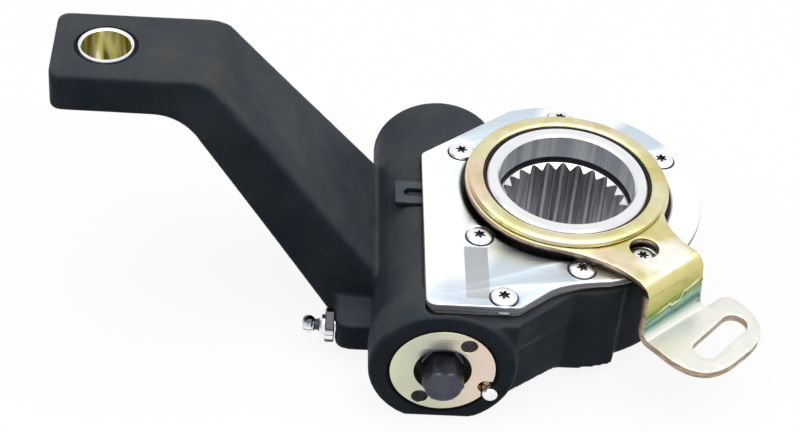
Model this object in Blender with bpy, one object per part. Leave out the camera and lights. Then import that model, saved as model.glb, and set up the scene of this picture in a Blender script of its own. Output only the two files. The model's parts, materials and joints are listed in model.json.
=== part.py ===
"""Automatic brake slack adjuster, modelled piece by piece.

Frame: the origin is on the camshaft axis in the plane of the housing's back face. +Z runs along
the camshaft towards the cover, the lever arm points to -X, and the worm lies along Y with its
adjusting hexagon towards -Y. Sizes below are in millimetres and become metres in each mesh.
"""

import math

import bmesh
import bpy
from mathutils import Vector

MM = 0.001
TURN = 2 * math.pi

# Clearances
SEAT = 0.3
RUN = 0.4

# Splined hub of the wheel: its radius drives the whole stack round the camshaft
HUB_RADIUS = 27.9
HUB_RIM = 4.7
COUNTERBORE_RADIUS = HUB_RADIUS - HUB_RIM
COUNTERBORE_DEPTH = 10.5
SPLINE_TEETH = 25
SPLINE_DEPTH = 2.1
SPLINE_LEDGE = 1.2
SPLINE_MAJOR = COUNTERBORE_RADIUS - SPLINE_LEDGE
SPLINE_MINOR = SPLINE_MAJOR - SPLINE_DEPTH
SPLINE_FLANKS = (
    (-0.12, SPLINE_MAJOR), (0.12, SPLINE_MAJOR), (0.42, SPLINE_MINOR), (0.58, SPLINE_MINOR))
HUB_RECESS = 0.2
HUB_BACK = 0.5
HUB_EDGE = 0.6
SHOULDER_STEP = 2.5
SHOULDER_RADIUS = HUB_RADIUS + SHOULDER_STEP

# Worm drive: a single-start worm turns a wheel of twenty-five teeth
WHEEL_TEETH = 25
WHEEL_RIM = 4.1
WHEEL_PITCH = HUB_RADIUS + WHEEL_RIM
WHEEL_WIDTH = 22.0
WORM_PITCH = 10.0
ADDENDUM = 2.5
DEDENDUM = 3.0
PRESSURE_ANGLE = math.radians(20)
BACKLASH = 0.6
WORM_TURNS = 3.4
WORM_X = -(WHEEL_PITCH + WORM_PITCH)
LEAD = TURN * WHEEL_PITCH / WHEEL_TEETH
LEAD_ANGLE = math.atan(LEAD / (TURN * WORM_PITCH))

# Heights of the stack on the camshaft axis, from the back face upwards
DRUM_STEP = 6.0
FLOOR = 9.7
WHEEL_LOW = FLOOR + SEAT
WHEEL_HIGH = WHEEL_LOW + WHEEL_WIDTH
WORM_HEIGHT = WHEEL_LOW + WHEEL_WIDTH / 2
FLANGE_LIFT = 5.5
FLANGE_LOW = WHEEL_HIGH + FLANGE_LIFT
FLANGE_THICK = 2.6
FLANGE_HIGH = FLANGE_LOW + FLANGE_THICK
HOUSING_TOP = FLANGE_HIGH
SHIM_THICK = 1.6
SHIM_LOW = HOUSING_TOP + SEAT
SHIM_HIGH = SHIM_LOW + SHIM_THICK
COVER_THICK = 2.7
COVER_LOW = SHIM_HIGH + SEAT
COVER_TOP = COVER_LOW + COVER_THICK
ARM_GAP = 1.5
ARM_THICK = 2.5
ARM_LOW = COVER_TOP + ARM_GAP
ARM_TOP = ARM_LOW + ARM_THICK
RING_THICK = 1.7
RING_LOW = ARM_TOP + SEAT
RING_TOP = RING_LOW + RING_THICK
HUB_TOP = RING_TOP - HUB_RECESS

# Control disc, control arm and retaining ring
SPIGOT_STEP = 2.3
SPIGOT_RADIUS = HUB_RADIUS + SPIGOT_STEP
COLLAR_STEP = 1.5
COLLAR_RADIUS = SPIGOT_RADIUS + COLLAR_STEP
FLANGE_STEP = 4.5
FLANGE_RADIUS = COLLAR_RADIUS + FLANGE_STEP
DISC_ROOM = 0.5
DISC_BORE = HUB_RADIUS + DISC_ROOM
SEAL_LIP = 0.45
RING_ROOM = 1.0
RING_BORE = HUB_RADIUS + RING_ROOM
RING_STEP = 6.1
RING_RADIUS = HUB_RADIUS + RING_STEP
ARM_RING_STEP = 1.0
ARM_RING_RADIUS = RING_RADIUS + ARM_RING_STEP
SEAL_POCKET_DEPTH = 1.9
SEAL_POCKET_LIFT = 1.1
SEAL_POCKET_LOW = SHIM_LOW + SEAL_POCKET_LIFT
SEAL_POCKET_WIDTH = 3.0
ARM_DIRECTION = math.radians(-49)
NECK_LEFT = 16.9
NECK_RIGHT = 9.5
NECK_FLARE = 12.5
FLARE_LEFT_STEP = 6.0
FLARE_LEFT = ARM_RING_RADIUS - FLARE_LEFT_STEP
FLARE_RIGHT_STEP = 20.0
FLARE_RIGHT = ARM_RING_RADIUS - FLARE_RIGHT_STEP
WALL_RIGHT = 12.8
NECK_SHIFT_HOLE = -3.5
NECK_HOLE_STEP = 4.9
NECK_HOLE_REACH = ARM_RING_RADIUS + NECK_HOLE_STEP
NECK_HOLE_RADIUS = 5.0
NECK_LENGTH = 19.0
BEND_REACH = ARM_RING_RADIUS + NECK_LENGTH
BEND_RADIUS = 3.5
WALL_DROP = 20.5
TONGUE_LENGTH = 29.0
TONGUE_REACH = BEND_REACH + TONGUE_LENGTH
TONGUE_SLANT = 3.4
TONGUE_LEFT = 15.3
TONGUE_RIGHT = 24.0
TONGUE_CORNER = 16.0
TONGUE_HEEL = 4.5
SLOT_EDGE = 12.7
SLOT_REACH = TONGUE_REACH - SLOT_EDGE
SLOT_SHIFT = 6.2
SLOT_LENGTH = 25.6
SLOT_WIDTH = 8.8
SLOT_TILT = 8

# Barrel of the worm, along Y
CAP_FLOOR = 3.6
CAP_RADIUS = WORM_HEIGHT - CAP_FLOOR
BOSS_WALL = 7.1
BOSS_RADIUS = CAP_RADIUS + BOSS_WALL
BOSS_STEP = 2.0
BARREL_RADIUS = BOSS_RADIUS - BOSS_STEP
BARREL_REACH = 38.1
FRONT_Y = -(HUB_RADIUS + BARREL_REACH)
BACK_Y = 50.0
BOSS_LENGTH = 15.0
BARREL_BORE = 14.0
CAP_DEPTH = 9.0
CAP_HOLE_RADIUS = 9.4
PIN_HOLE_EDGE = 3.6
PIN_HOLE_CIRCLE = CAP_RADIUS - PIN_HOLE_EDGE
PIN_HOLE_RADIUS = 2.7
PIN_HOLE_DEPTH = 5.0
PIN_HOLE_ANGLES = (56, 241)
RIM_NOTCH_EDGE = 1.2
RIM_NOTCH_CIRCLE = CAP_RADIUS - RIM_NOTCH_EDGE
RIM_NOTCH_ANGLE = -24
LOCK_PIN_RADIUS = 2.75
LOCK_PIN_STEP = 1.8
LOCK_PIN_CIRCLE = CAP_RADIUS + LOCK_PIN_STEP
LOCK_PIN_ANGLE = -31
LOCK_PIN_SHORT = 0.8
LOCK_PIN_LENGTH = CAP_DEPTH / 2 - LOCK_PIN_SHORT
LOCK_PIN_DOME = 1.3
CAP_ORING_WIDTH = 2.2
CAP_ORING_DEPTH = 1.6

# Adjusting shaft and what rides on it
HEX_FLATS = 12.0
HEX_PROUD = 8.0
SHAFT_RADIUS = 7.0
SHAFT_THIN = 5.4
PINION_TEETH = 14
PINION_MODULE = 1.2
PINION_PITCH = PINION_TEETH * PINION_MODULE / 2
PINION_ADDENDUM = 1.0
PINION_DEDENDUM = 1.35
PINION_BACKLASH = 0.5
RACK_ROOM = 3.4
RACK_Y = -(FLANGE_RADIUS + RACK_ROOM)
RACK_WIDTH = 6.4
RACK_HEIGHT = 6.0
DRUM_HUB_RADIUS = 7.2
CLUTCH_HUB_LENGTH = 4.6
CLUTCH_WIRE = 0.7
CLUTCH_TURNS = 4.0
WORM_HALF = 15.0
WORM_REAR_HUB = 3.0
RACE_THICK = 2.0
RACE_RADIUS = 12.2
BALL_RADIUS = 2.0
BALL_CIRCLE = 9.0
BALLS = 8
SEAT_THICK = 2.0
SPRING_WIRE = 1.6
SPRING_MEAN = 9.9
SPRING_TURNS = 2.2
PLUG_THICK = 8.2
PLUG_RECESS = 0.8
KEY_WIDTH = 3.0
KEY_LENGTH = 11.0
KEY_IN_SHAFT = 1.6
KEY_IN_WORM = 0.9

# Rack travel: a finger on the rack sits in the notch of the control disc
FINGER_X = -13.5
FINGER_WIDTH = 3.5
FINGER_BITE = 1.1
FINGER_TIP_Y = -(COLLAR_RADIUS - FINGER_BITE)
FINGER_THICK = 1.9
NOTCH_WIDTH = 5.6
NOTCH_BITE = 1.6
NOTCH_ROOT = COLLAR_RADIUS - NOTCH_BITE
TRAVEL_BACK = 2.6
TRAVEL_FORWARD = 10.2
RACK_RUN = 15.0
RACK_LEFT = WORM_X - RACK_RUN

# Drum of the housing
DRUM_WALL = 8.2
DRUM_RADIUS = FLANGE_RADIUS + DRUM_WALL
BAND_STEP = 2.0
BAND_RADIUS = DRUM_RADIUS + BAND_STEP
HUB_BOSS_WALL = 9.1
HUB_BOSS_RADIUS = HUB_RADIUS + HUB_BOSS_WALL
WHEEL_ROOM = 0.7
CHAMBER_RADIUS = WHEEL_PITCH + ADDENDUM + WHEEL_ROOM

# Cover outline and screws
COVER_OVERHANG = 7.0
COVER_LEFT = WORM_X - COVER_OVERHANG
COVER_BACK_CORNER = 17.0
COVER_SETBACK = 1.5
COVER_FRONT = FRONT_Y + COVER_SETBACK
COVER_LIP = 2.2
COVER_ARC = DRUM_RADIUS + COVER_LIP
COVER_FLAT = 23.5
COVER_DIAGONAL_START = WORM_X + COVER_FLAT
COVER_DIAGONAL_MEET = -83
COVER_CHAMFER_MEET = 112
COVER_EDGE = 0.8
COVER_CORNER = 5.0
COVER_BEND_SHARE = 0.35
COVER_BEND_SWEEP = 11
SCREW_STEP = 3.8
SCREW_CIRCLE = FLANGE_RADIUS + SCREW_STEP
SCREW_ANGLES = (152, 89, 29, -54, -86, -140)
CORNER_SCREW_LEFT = 5.3
CORNER_SCREW_BACK = 9.4
CORNER_SCREW = (COVER_DIAGONAL_START - CORNER_SCREW_LEFT, COVER_FRONT + CORNER_SCREW_BACK)
SCREW_HEAD = 4.45
SCREW_HEAD_THICK = 1.7
SPOTFACE_DEPTH = 0.9
SCREW_SHANK = 2.3
SCREW_LENGTH = 10.2
STAR_RADIUS = 1.9
STAR_DEPTH = 1.1
TAB_LENGTH = 9.5
TAB_LEFT = COVER_LEFT - TAB_LENGTH
TAB_FRONT = -6.5
TAB_BACK = 5.0
TAB_SLOT_WIDTH = 4.0
TAB_SLOT_EDGE = 3.0
TAB_SLOT_END = TAB_LEFT + TAB_SLOT_EDGE

# Gear housing
BAND_END = -67
BAND_DROP = 0.7
SEAL_GROOVE = 2.4
BACK_SEAL_WIDTH = 3.6
BACK_SEAL_LOW = 2.2
CASTING_ROUND = 2.0
FORGING_SOLVER = "MANIFOLD"
LUG_DEPTH = 14.0
LUG_INSET = 3.2

# Lever arm: top and bottom lines of its side view, and its half width
ARM_END = -173.2
ARM_UPPER = 97.0
ARM_PLATE = 15.0
LEVER_TOP_BEND = (-120.4, 12.0)
LEVER_FOOT_TOP = 16.0
LEVER_TOP_FOOT = (WORM_X - LEVER_FOOT_TOP, WORM_HEIGHT)
LEVER_BOTTOM_BEND = (-129.4, 20.0)
LEVER_FOOT_LOW = 32.0
LEVER_FOOT_RISE = 1.5
LEVER_BOTTOM_FOOT = (WORM_X - LEVER_FOOT_LOW, LEVER_FOOT_RISE)
LEVER_HALF_WIDTH = 17.3
LEVER_ROOT_HALF_WIDTH = 29.0
LEVER_CORNER = 9.0
LEVER_EDGE = 2.2
EYE_X = -156.0
BUSH_RADIUS = 9.35
BUSH_BORE = 8.0
BUSH_PROUD = 0.4

# Block under the lever's root, with the grease nipple
BLOCK_RUN = 35.0
BLOCK_LEFT = WORM_X - BLOCK_RUN
BLOCK_STEP = 6.0
BLOCK_SHOULDER = BLOCK_LEFT - BLOCK_STEP
BLOCK_FRONT = -42.5
BLOCK_BACK = 34.0
BLOCK_LOW = 5.5
BLOCK_CORNERS = (0, 5, 2, 2, 5, 5, 0)
BLOCK_HIGH = 17.0
NIPPLE_INSET = 7.5
NIPPLE_Y = BLOCK_FRONT + NIPPLE_INSET
NIPPLE_LIFT = 4.6
NIPPLE_Z = BLOCK_LOW + NIPPLE_LIFT
NIPPLE_RUN = 14.0
SHOULDER_RUN = 20.0
NIPPLE_THREAD = 2.5
NIPPLE_HEX = 9.0
NIPPLE_HEX_THICK = 3.2
NIPPLE_LENGTH = 10.8
NIPPLE_THREAD_LENGTH = 7.0

# Places along the worm's axis, from the front of the cap to the plug at the back
CAP_BACK = FRONT_Y + CAP_DEPTH
SHAFT_SEAL_INSET = 5.0
SHAFT_SEAL_FRONT = CAP_BACK - SHAFT_SEAL_INSET
SHAFT_SEAL_LENGTH = 4.0
PINION_FRONT = RACK_Y - RACK_WIDTH / 2
PINION_BACK = RACK_Y + RACK_WIDTH / 2
CLUTCH_HUB_BACK = PINION_BACK + CLUTCH_HUB_LENGTH
SLEEVE_FRONT = CLUTCH_HUB_BACK + SEAT
SLEEVE_BACK = WORM_HALF + WORM_REAR_HUB
RACE_A = SLEEVE_BACK + SEAT
BALL_Y = RACE_A + RACE_THICK + SEAT + BALL_RADIUS
RACE_B = BALL_Y + BALL_RADIUS + SEAT
SPRING_SEAT_Y = RACE_B + RACE_THICK + SEAT
PLUG_BACK = BACK_Y - PLUG_RECESS
PLUG_FRONT = PLUG_BACK - PLUG_THICK
SHAFT_END = PLUG_FRONT + 4.0
WORM_AXIS = (WORM_X, 0, WORM_HEIGHT)
WORM_TIP = WORM_PITCH + ADDENDUM
WORM_ROOT = WORM_PITCH - DEDENDUM + 0.2

# Screws seated in the cover's spotfaces
SCREW_UNDER = COVER_TOP - SPOTFACE_DEPTH + SEAT
SCREW_END = SCREW_UNDER - SCREW_LENGTH

# The rack runs over the pinion
RACK_PITCH_LINE = WORM_HEIGHT + PINION_PITCH
RACK_LOW = RACK_PITCH_LINE - PINION_ADDENDUM
RACK_ROOT = RACK_PITCH_LINE + PINION_DEDENDUM
RACK_TOP = RACK_LOW + RACK_HEIGHT
FINGER_LOW = FLANGE_LOW + (FLANGE_THICK - FINGER_THICK) / 2
FINGER_HIGH = FINGER_LOW + FINGER_THICK
RACK_RIGHT = FINGER_X + FINGER_WIDTH / 2


def material(name, colour, roughness, metallic):
    """A Principled material in one colour."""
    made = bpy.data.materials.new(name)
    made.use_nodes = True
    shader = made.node_tree.nodes["Principled BSDF"]
    shader.inputs["Base Color"].default_value = (*colour, 1)
    shader.inputs["Roughness"].default_value = roughness
    shader.inputs["Metallic"].default_value = metallic
    return made


def polar(radius, degrees, centre=(0, 0)):
    """The point at a radius and an angle from a centre."""
    angle = math.radians(degrees)
    return (centre[0] + radius * math.cos(angle), centre[1] + radius * math.sin(angle))


def arc(radius, start, end, steps, centre=(0, 0)):
    """Points of an arc between two angles in degrees, both ends included."""
    return [polar(radius, start + (end - start) * i / steps, centre) for i in range(steps + 1)]


def curve(start, corner, end, steps):
    """Points of a soft bend that leaves start towards corner and arrives at end."""
    points = []
    for i in range(steps + 1):
        t = i / steps
        points.append(tuple(
            (1 - t) ** 2 * a + 2 * t * (1 - t) * b + t * t * c
            for a, b, c in zip(start, corner, end)
        ))
    return points


def rounded(corners, radii, steps=5):
    """A closed outline with a soft bend of its own size at each corner."""
    points = []
    for i, corner in enumerate(corners):
        if radii[i] == 0:
            points.append(corner)
            continue
        here = Vector(corner)
        back = (Vector(corners[i - 1]) - here).normalized() * radii[i]
        ahead = (Vector(corners[(i + 1) % len(corners)]) - here).normalized() * radii[i]
        points += curve(tuple(here + back), corner, tuple(here + ahead), steps)
    return points


def box_outline(left, right, low, high):
    """The four corners of a rectangle."""
    return [(left, low), (right, low), (right, high), (left, high)]


def build(name, vertices, faces):
    """One mesh object from points in millimetres, with its faces pointing out."""
    mesh = bpy.data.meshes.new(name)
    mesh.from_pydata([tuple(c * MM for c in v) for v in vertices], [], faces)
    edit = bmesh.new()
    edit.from_mesh(mesh)
    bmesh.ops.recalc_face_normals(edit, faces=edit.faces)
    edit.to_mesh(mesh)
    edit.free()
    made = bpy.data.objects.new(name, mesh)
    bpy.context.collection.objects.link(made)
    return made


def loft(name, rings, closed=False):
    """A skin through rings of equal length, capped at both ends unless it closes on itself."""
    size = len(rings[0])
    vertices = [point for ring in rings for point in ring]
    faces = []
    spans = len(rings) if closed else len(rings) - 1
    for i in range(spans):
        a = i * size
        b = (i + 1) % len(rings) * size
        for k in range(size):
            n = (k + 1) % size
            faces.append((a + k, a + n, b + n, b + k))
    if not closed:
        faces.append(tuple(range(size)))
        faces.append(tuple(range(len(vertices) - size, len(vertices))))
    return build(name, vertices, faces)


def swing(axis, at, radius, angle, along):
    """A point at a radius and angle about an axis through a place."""
    across = radius * math.cos(angle)
    up = radius * math.sin(angle)
    offset = {"Z": (across, up, along), "Y": (up, along, across), "X": (along, across, up)}[axis]
    return tuple(a + b for a, b in zip(at, offset))


def turned(name, profile, axis="Z", at=(0, 0, 0), steps=48):
    """A solid of revolution; a profile of (radius, height) that starts and ends on the axis is
    full, any other closes on itself as a ring."""
    vertices = []
    rows = []
    for radius, along in profile:
        if radius <= 0:
            rows.append([len(vertices)] * steps)
            vertices.append(swing(axis, at, 0, 0, along))
            continue
        rows.append(list(range(len(vertices), len(vertices) + steps)))
        vertices += [swing(axis, at, radius, TURN * k / steps, along) for k in range(steps)]
    full = profile[0][0] <= 0
    faces = []
    for i in range(len(rows) - 1 if full else len(rows)):
        a = rows[i]
        b = rows[(i + 1) % len(rows)]
        for k in range(steps):
            n = (k + 1) % steps
            corners = [a[k], a[n], b[n], b[k]]
            faces.append(tuple(dict.fromkeys(corners)))
    return build(name, vertices, faces)


def rod(name, radius, low, high, axis="Z", at=(0, 0, 0), steps=24):
    return turned(name, [(0, low), (radius, low), (radius, high), (0, high)], axis, at, steps)


def prism(name, outline, low, high, axis="Z"):
    """An outline pushed along an axis: (x, y) along Z, (x, z) along Y, (y, z) along X."""
    def place(point, along):
        first, second = point
        return {"Z": (first, second, along), "Y": (first, along, second),
                "X": (along, first, second)}[axis]
    return loft(name, [[place(p, low) for p in outline], [place(p, high) for p in outline]])


def block(name, left, right, front, back, low, high):
    return prism(name, box_outline(left, right, front, back), low, high)


def combine(target, operation, tools, solver="EXACT"):
    """Join the tools to the target or cut them out of it, and drop them."""
    for tool in tools:
        step = target.modifiers.new("shape", "BOOLEAN")
        step.operation = operation
        step.solver = solver
        step.object = tool
        graph = bpy.context.evaluated_depsgraph_get()
        shaped = bpy.data.meshes.new_from_object(target.evaluated_get(graph))
        target.modifiers.clear()
        target.data = shaped
        bpy.data.objects.remove(tool)
    return target


def cut(target, *tools, solver="EXACT"):
    return combine(target, "DIFFERENCE", tools, solver)


def join(target, *tools, solver="EXACT"):
    return combine(target, "UNION", tools, solver)


def finish(piece, paint, origin=(0, 0, 0)):
    """Give a piece its material, its name's mesh and an origin on its joint's axis."""
    piece.data.name = piece.name
    piece.data.materials.clear()
    piece.data.materials.append(paint)
    piece.data.shade_smooth()
    piece.data.set_sharp_from_angle(angle=math.radians(35))
    offset = Vector(origin) * MM
    for vertex in piece.data.vertices:
        vertex.co -= offset
    piece.location = offset
    return piece


def gear_outline(teeth, pitch, tip, root, thickness, phase, samples=4):
    """An involute gear; thickness is the tooth's width at the pitch circle, and phase is the
    angle of the middle of its first tooth."""
    base = pitch * math.cos(PRESSURE_ANGLE)

    def half_angle(radius):
        pressure = math.acos(min(1, base / radius))
        spread = math.tan(pressure) - pressure
        at_pitch = math.tan(PRESSURE_ANGLE) - PRESSURE_ANGLE
        return thickness / (2 * pitch) + at_pitch - spread

    foot = max(root, base)
    radii = [root] if root < base else []
    radii += [foot + (tip - foot) * i / (samples - 1) for i in range(samples)]
    points = []
    for tooth in range(teeth):
        middle = phase + TURN * tooth / teeth
        rising = [(r, middle - half_angle(r)) for r in radii]
        falling = [(r, middle + half_angle(r)) for r in reversed(radii)]
        points += [(r * math.cos(a), r * math.sin(a)) for r, a in rising + falling]
    return points


def coil(name, wire, mean, low, high, turns, at, sides=6, steps=16):
    """A coil spring of round wire about a line along Y."""
    rings = []
    count = round(turns * steps)
    for i in range(count + 1):
        angle = TURN * turns * i / count
        middle = low + wire + (high - low - 2 * wire) * i / count
        ring = []
        for k in range(sides):
            around = TURN * k / sides
            ring.append(swing("Y", at, mean + wire * math.cos(around), angle,
                              middle + wire * math.sin(around)))
        rings.append(ring)
    return loft(name, rings)


def cover_outline(inset, radius):
    """The cover's outline moved in by an inset, with its arc about the camshaft at a radius."""
    left = COVER_LEFT + inset
    front = COVER_FRONT + inset
    meet = Vector(polar(radius, COVER_DIAGONAL_MEET))
    start = Vector((COVER_DIAGONAL_START - inset / 2, front))
    bend = meet + (start - meet) * COVER_BEND_SHARE
    points = arc(radius, COVER_DIAGONAL_MEET + COVER_BEND_SWEEP, COVER_CHAMFER_MEET, 26)
    points.append((left, COVER_BACK_CORNER - inset / 2))
    points += arc(COVER_CORNER, 180, 270, 4, (left + COVER_CORNER, front + COVER_CORNER))
    points.append(tuple(start))
    end = polar(radius, COVER_DIAGONAL_MEET + COVER_BEND_SWEEP)
    points += curve(tuple(bend), tuple(meet), end, 6)[:-1]
    return points


def screw_places():
    """Where the cover's screws stand: six on a circle and one in the front corner."""
    return [polar(SCREW_CIRCLE, angle) for angle in SCREW_ANGLES] + [CORNER_SCREW]


def lever_line(end_x, height, bend, foot, steps):
    """A side line of the lever: along the plate, round its bend, and down to the foot."""
    bend_x, radius = bend
    corner = Vector((bend_x, height))
    down = (Vector(foot) - corner).normalized()
    reach = radius * math.tan(Vector((1, 0)).angle(down) / 2)
    start = corner - Vector((reach, 0))
    end = corner + down * reach
    plate = [(end_x + (start.x - end_x) * i / steps, height) for i in range(steps)]
    turn = curve(tuple(start), tuple(corner), tuple(end), steps)
    slope = [tuple(end + (Vector(foot) - end) * i / steps) for i in range(1, steps + 1)]
    return plate + turn + slope


def lever():
    """The bent lever arm: sections that stand across its side view, wide at the root."""
    steps = 5
    straight = ARM_END + LEVER_CORNER
    under = ARM_UPPER - ARM_PLATE
    top = lever_line(straight, ARM_UPPER, LEVER_TOP_BEND, LEVER_TOP_FOOT, steps)
    low = lever_line(straight, under, LEVER_BOTTOM_BEND, LEVER_BOTTOM_FOOT, steps)
    rings = []
    for share in (0, 0.08, 0.3, 0.6):
        x = ARM_END + LEVER_CORNER * share
        narrow = LEVER_CORNER * (1 - math.sqrt(1 - (1 - share) ** 2))
        rings.append(lever_section((x, ARM_UPPER), (x, under), LEVER_HALF_WIDTH - narrow))
    for i in range(len(top)):
        share = max(0, i - steps) / (len(top) - 1 - steps)
        width = LEVER_HALF_WIDTH + (LEVER_ROOT_HALF_WIDTH - LEVER_HALF_WIDTH) * share ** 1.6
        rings.append(lever_section(top[i], low[i], width))
    return loft("lever", rings)


def lever_section(top, low, half):
    """A rounded rectangle across the lever, from its top line to its bottom line."""
    up = Vector(top) - Vector(low)
    tall = up.length
    outline = rounded(box_outline(-half, half, 0, tall), [LEVER_EDGE] * 4, 3)
    points = []
    for across, height in outline:
        place = Vector(low) + up * (height / tall)
        points.append((place.x, across, place.y))
    return points


def housing(paint):
    """The forged body: gear housing, barrel of the worm, lever and nipple block, then its bores."""
    r = CASTING_ROUND
    over = HOUSING_TOP + 1
    body = turned("housing", [
        (0, DRUM_STEP), (DRUM_RADIUS - r, DRUM_STEP), (DRUM_RADIUS, DRUM_STEP + r),
        (DRUM_RADIUS, over), (0, over)], steps=52)
    boss = turned("boss", [
        (0, -1), (HUB_BOSS_RADIUS - 1, -1), (HUB_BOSS_RADIUS, 1), (HUB_BOSS_RADIUS, FLOOR),
        (0, FLOOR)], steps=36)
    band = prism("band", arc(BAND_RADIUS, -180, BAND_END, 20) + [(0, 0)], DRUM_STEP - BAND_DROP, over)
    slim = cover_outline(LUG_INSET, DRUM_RADIUS - r)
    wide = cover_outline(COVER_EDGE, DRUM_RADIUS - r)
    shoulder = loft("shoulder", [
        [(x, y, DRUM_STEP + r / 4) for x, y in slim],
        [(x, y, HOUSING_TOP - LUG_DEPTH) for x, y in slim],
        [(x, y, HOUSING_TOP - LUG_DEPTH + LUG_INSET) for x, y in wide],
        [(x, y, over) for x, y in wide]])
    barrel = turned("barrel", [
        (0, FRONT_Y), (BOSS_RADIUS - 1, FRONT_Y), (BOSS_RADIUS, FRONT_Y + 1),
        (BOSS_RADIUS, FRONT_Y + BOSS_LENGTH), (BARREL_RADIUS, FRONT_Y + BOSS_LENGTH + r),
        (BARREL_RADIUS, BACK_Y - r), (BARREL_RADIUS - r, BACK_Y), (0, BACK_Y)], "Y", WORM_AXIS, 40)
    foot = prism("foot", rounded(
        [(WORM_X, BLOCK_FRONT), (BLOCK_LEFT, BLOCK_FRONT), (BLOCK_LEFT, BLOCK_FRONT + NIPPLE_RUN),
         (BLOCK_SHOULDER, BLOCK_FRONT + 2 * NIPPLE_RUN), (BLOCK_SHOULDER, BLOCK_BACK - SHOULDER_RUN),
         (BLOCK_LEFT, BLOCK_BACK), (WORM_X, BLOCK_BACK)], BLOCK_CORNERS, 3), BLOCK_LOW, BLOCK_HIGH)
    join(body, boss, band, shoulder, barrel, foot, lever(), solver=FORGING_SOLVER)
    below = block("below", ARM_END - BOSS_RADIUS, BAND_RADIUS + BOSS_RADIUS, FRONT_Y - BOSS_RADIUS,
                  BACK_Y + BOSS_RADIUS, -BOSS_RADIUS, 0)
    above = prism("above", cover_outline(-SEAT, COVER_ARC + 3), HOUSING_TOP, COVER_TOP + BOSS_RADIUS)
    tab_room = block("tab_room", TAB_LEFT - 1, COVER_LEFT + 2, TAB_FRONT - 1, TAB_BACK + 1,
                     HOUSING_TOP, COVER_TOP + BOSS_RADIUS)
    chamber = turned("chamber", [
        (0, FLOOR), (CHAMBER_RADIUS, FLOOR), (CHAMBER_RADIUS, FLANGE_LOW - SEAT),
        (FLANGE_RADIUS + RUN, FLANGE_LOW - SEAT), (FLANGE_RADIUS + RUN, HOUSING_TOP + 1),
        (0, HOUSING_TOP + 1)], steps=40)
    groove = HUB_RADIUS + RUN + SEAL_GROOVE
    back_bore = turned("back_bore", [
        (0, -1), (HUB_RADIUS + RUN, -1), (HUB_RADIUS + RUN, BACK_SEAL_LOW), (groove, BACK_SEAL_LOW),
        (groove, BACK_SEAL_LOW + BACK_SEAL_WIDTH), (HUB_RADIUS + RUN, BACK_SEAL_LOW + BACK_SEAL_WIDTH),
        (HUB_RADIUS + RUN, FLOOR + 1), (0, FLOOR + 1)], steps=32)
    worm_bore = turned("worm_bore", [
        (0, FRONT_Y - 1), (CAP_RADIUS + SEAT, FRONT_Y - 1), (CAP_RADIUS + SEAT, CAP_BACK + SEAT),
        (BARREL_BORE, CAP_BACK + SEAT), (BARREL_BORE, BACK_Y + 1), (0, BACK_Y + 1)], "Y", WORM_AXIS, 28)
    holes = [rod("hole", SCREW_SHANK + SEAT, SCREW_END - SEAT, COVER_TOP,
                 at=(x, y, 0), steps=10) for x, y in screw_places()]
    eye = rod("eye", BUSH_RADIUS + SEAT, ARM_UPPER - 2 * ARM_PLATE, ARM_UPPER + ARM_PLATE,
              at=(EYE_X, 0, 0), steps=28)
    nipple_hole = rod("nipple_hole", NIPPLE_THREAD + SEAT, BLOCK_LEFT - NIPPLE_LENGTH,
                      BLOCK_LEFT + NIPPLE_THREAD_LENGTH + SEAT, "X", (0, NIPPLE_Y, NIPPLE_Z), 10)
    cut(body, below, above, tab_room, chamber, back_bore, worm_bore, lock_pin_room(), *rack_room(),
        *holes, eye, nipple_hole, solver=FORGING_SOLVER)
    return finish(body, paint)


def rack_room():
    """Pockets for the rack: low under the barrel's wall, open to the cover over the drum, and
    shallow where its finger reaches the control disc."""
    front = RACK_Y - RACK_WIDTH / 2 - SEAT
    back = RACK_Y + RACK_WIDTH / 2 + SEAT
    right = RACK_RIGHT + TRAVEL_FORWARD + SEAT
    left = RACK_LEFT - TRAVEL_BACK - SEAT
    finger_left = FINGER_X - FINGER_WIDTH / 2 - TRAVEL_BACK - SEAT
    low = RACK_LOW - SEAT
    return [
        block("rack_tunnel", left, right, front, back, low, RACK_TOP + SEAT),
        block("rack_slot", COVER_LEFT + 1, right, front, back, low + 1, HOUSING_TOP + 1),
        block("finger_room", finger_left, right, front + 1, FINGER_TIP_Y,
              FINGER_LOW - SEAT, HOUSING_TOP + 1),
    ]


def lock_pin_room():
    """The hole for the lock pin, half in the cap and half in the housing."""
    x, z = polar(LOCK_PIN_CIRCLE, LOCK_PIN_ANGLE, (WORM_X, WORM_HEIGHT))
    return rod("lock_pin_room", LOCK_PIN_RADIUS + SEAT, FRONT_Y - 3, FRONT_Y + LOCK_PIN_LENGTH + SEAT,
               "Y", (x, 0, z), 16)


def clevis_bushing(paint):
    """The plain bush pressed into the lever's eye."""
    low = ARM_UPPER - ARM_PLATE - BUSH_PROUD
    high = ARM_UPPER + BUSH_PROUD
    edge = (BUSH_RADIUS - BUSH_BORE) / 3
    piece = turned("clevis_bushing", [
        (BUSH_BORE, low), (BUSH_RADIUS, low), (BUSH_RADIUS, high - edge), (BUSH_RADIUS - edge, high),
        (BUSH_BORE, high)], at=(EYE_X, 0, 0), steps=32)
    return finish(piece, paint)


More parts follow.
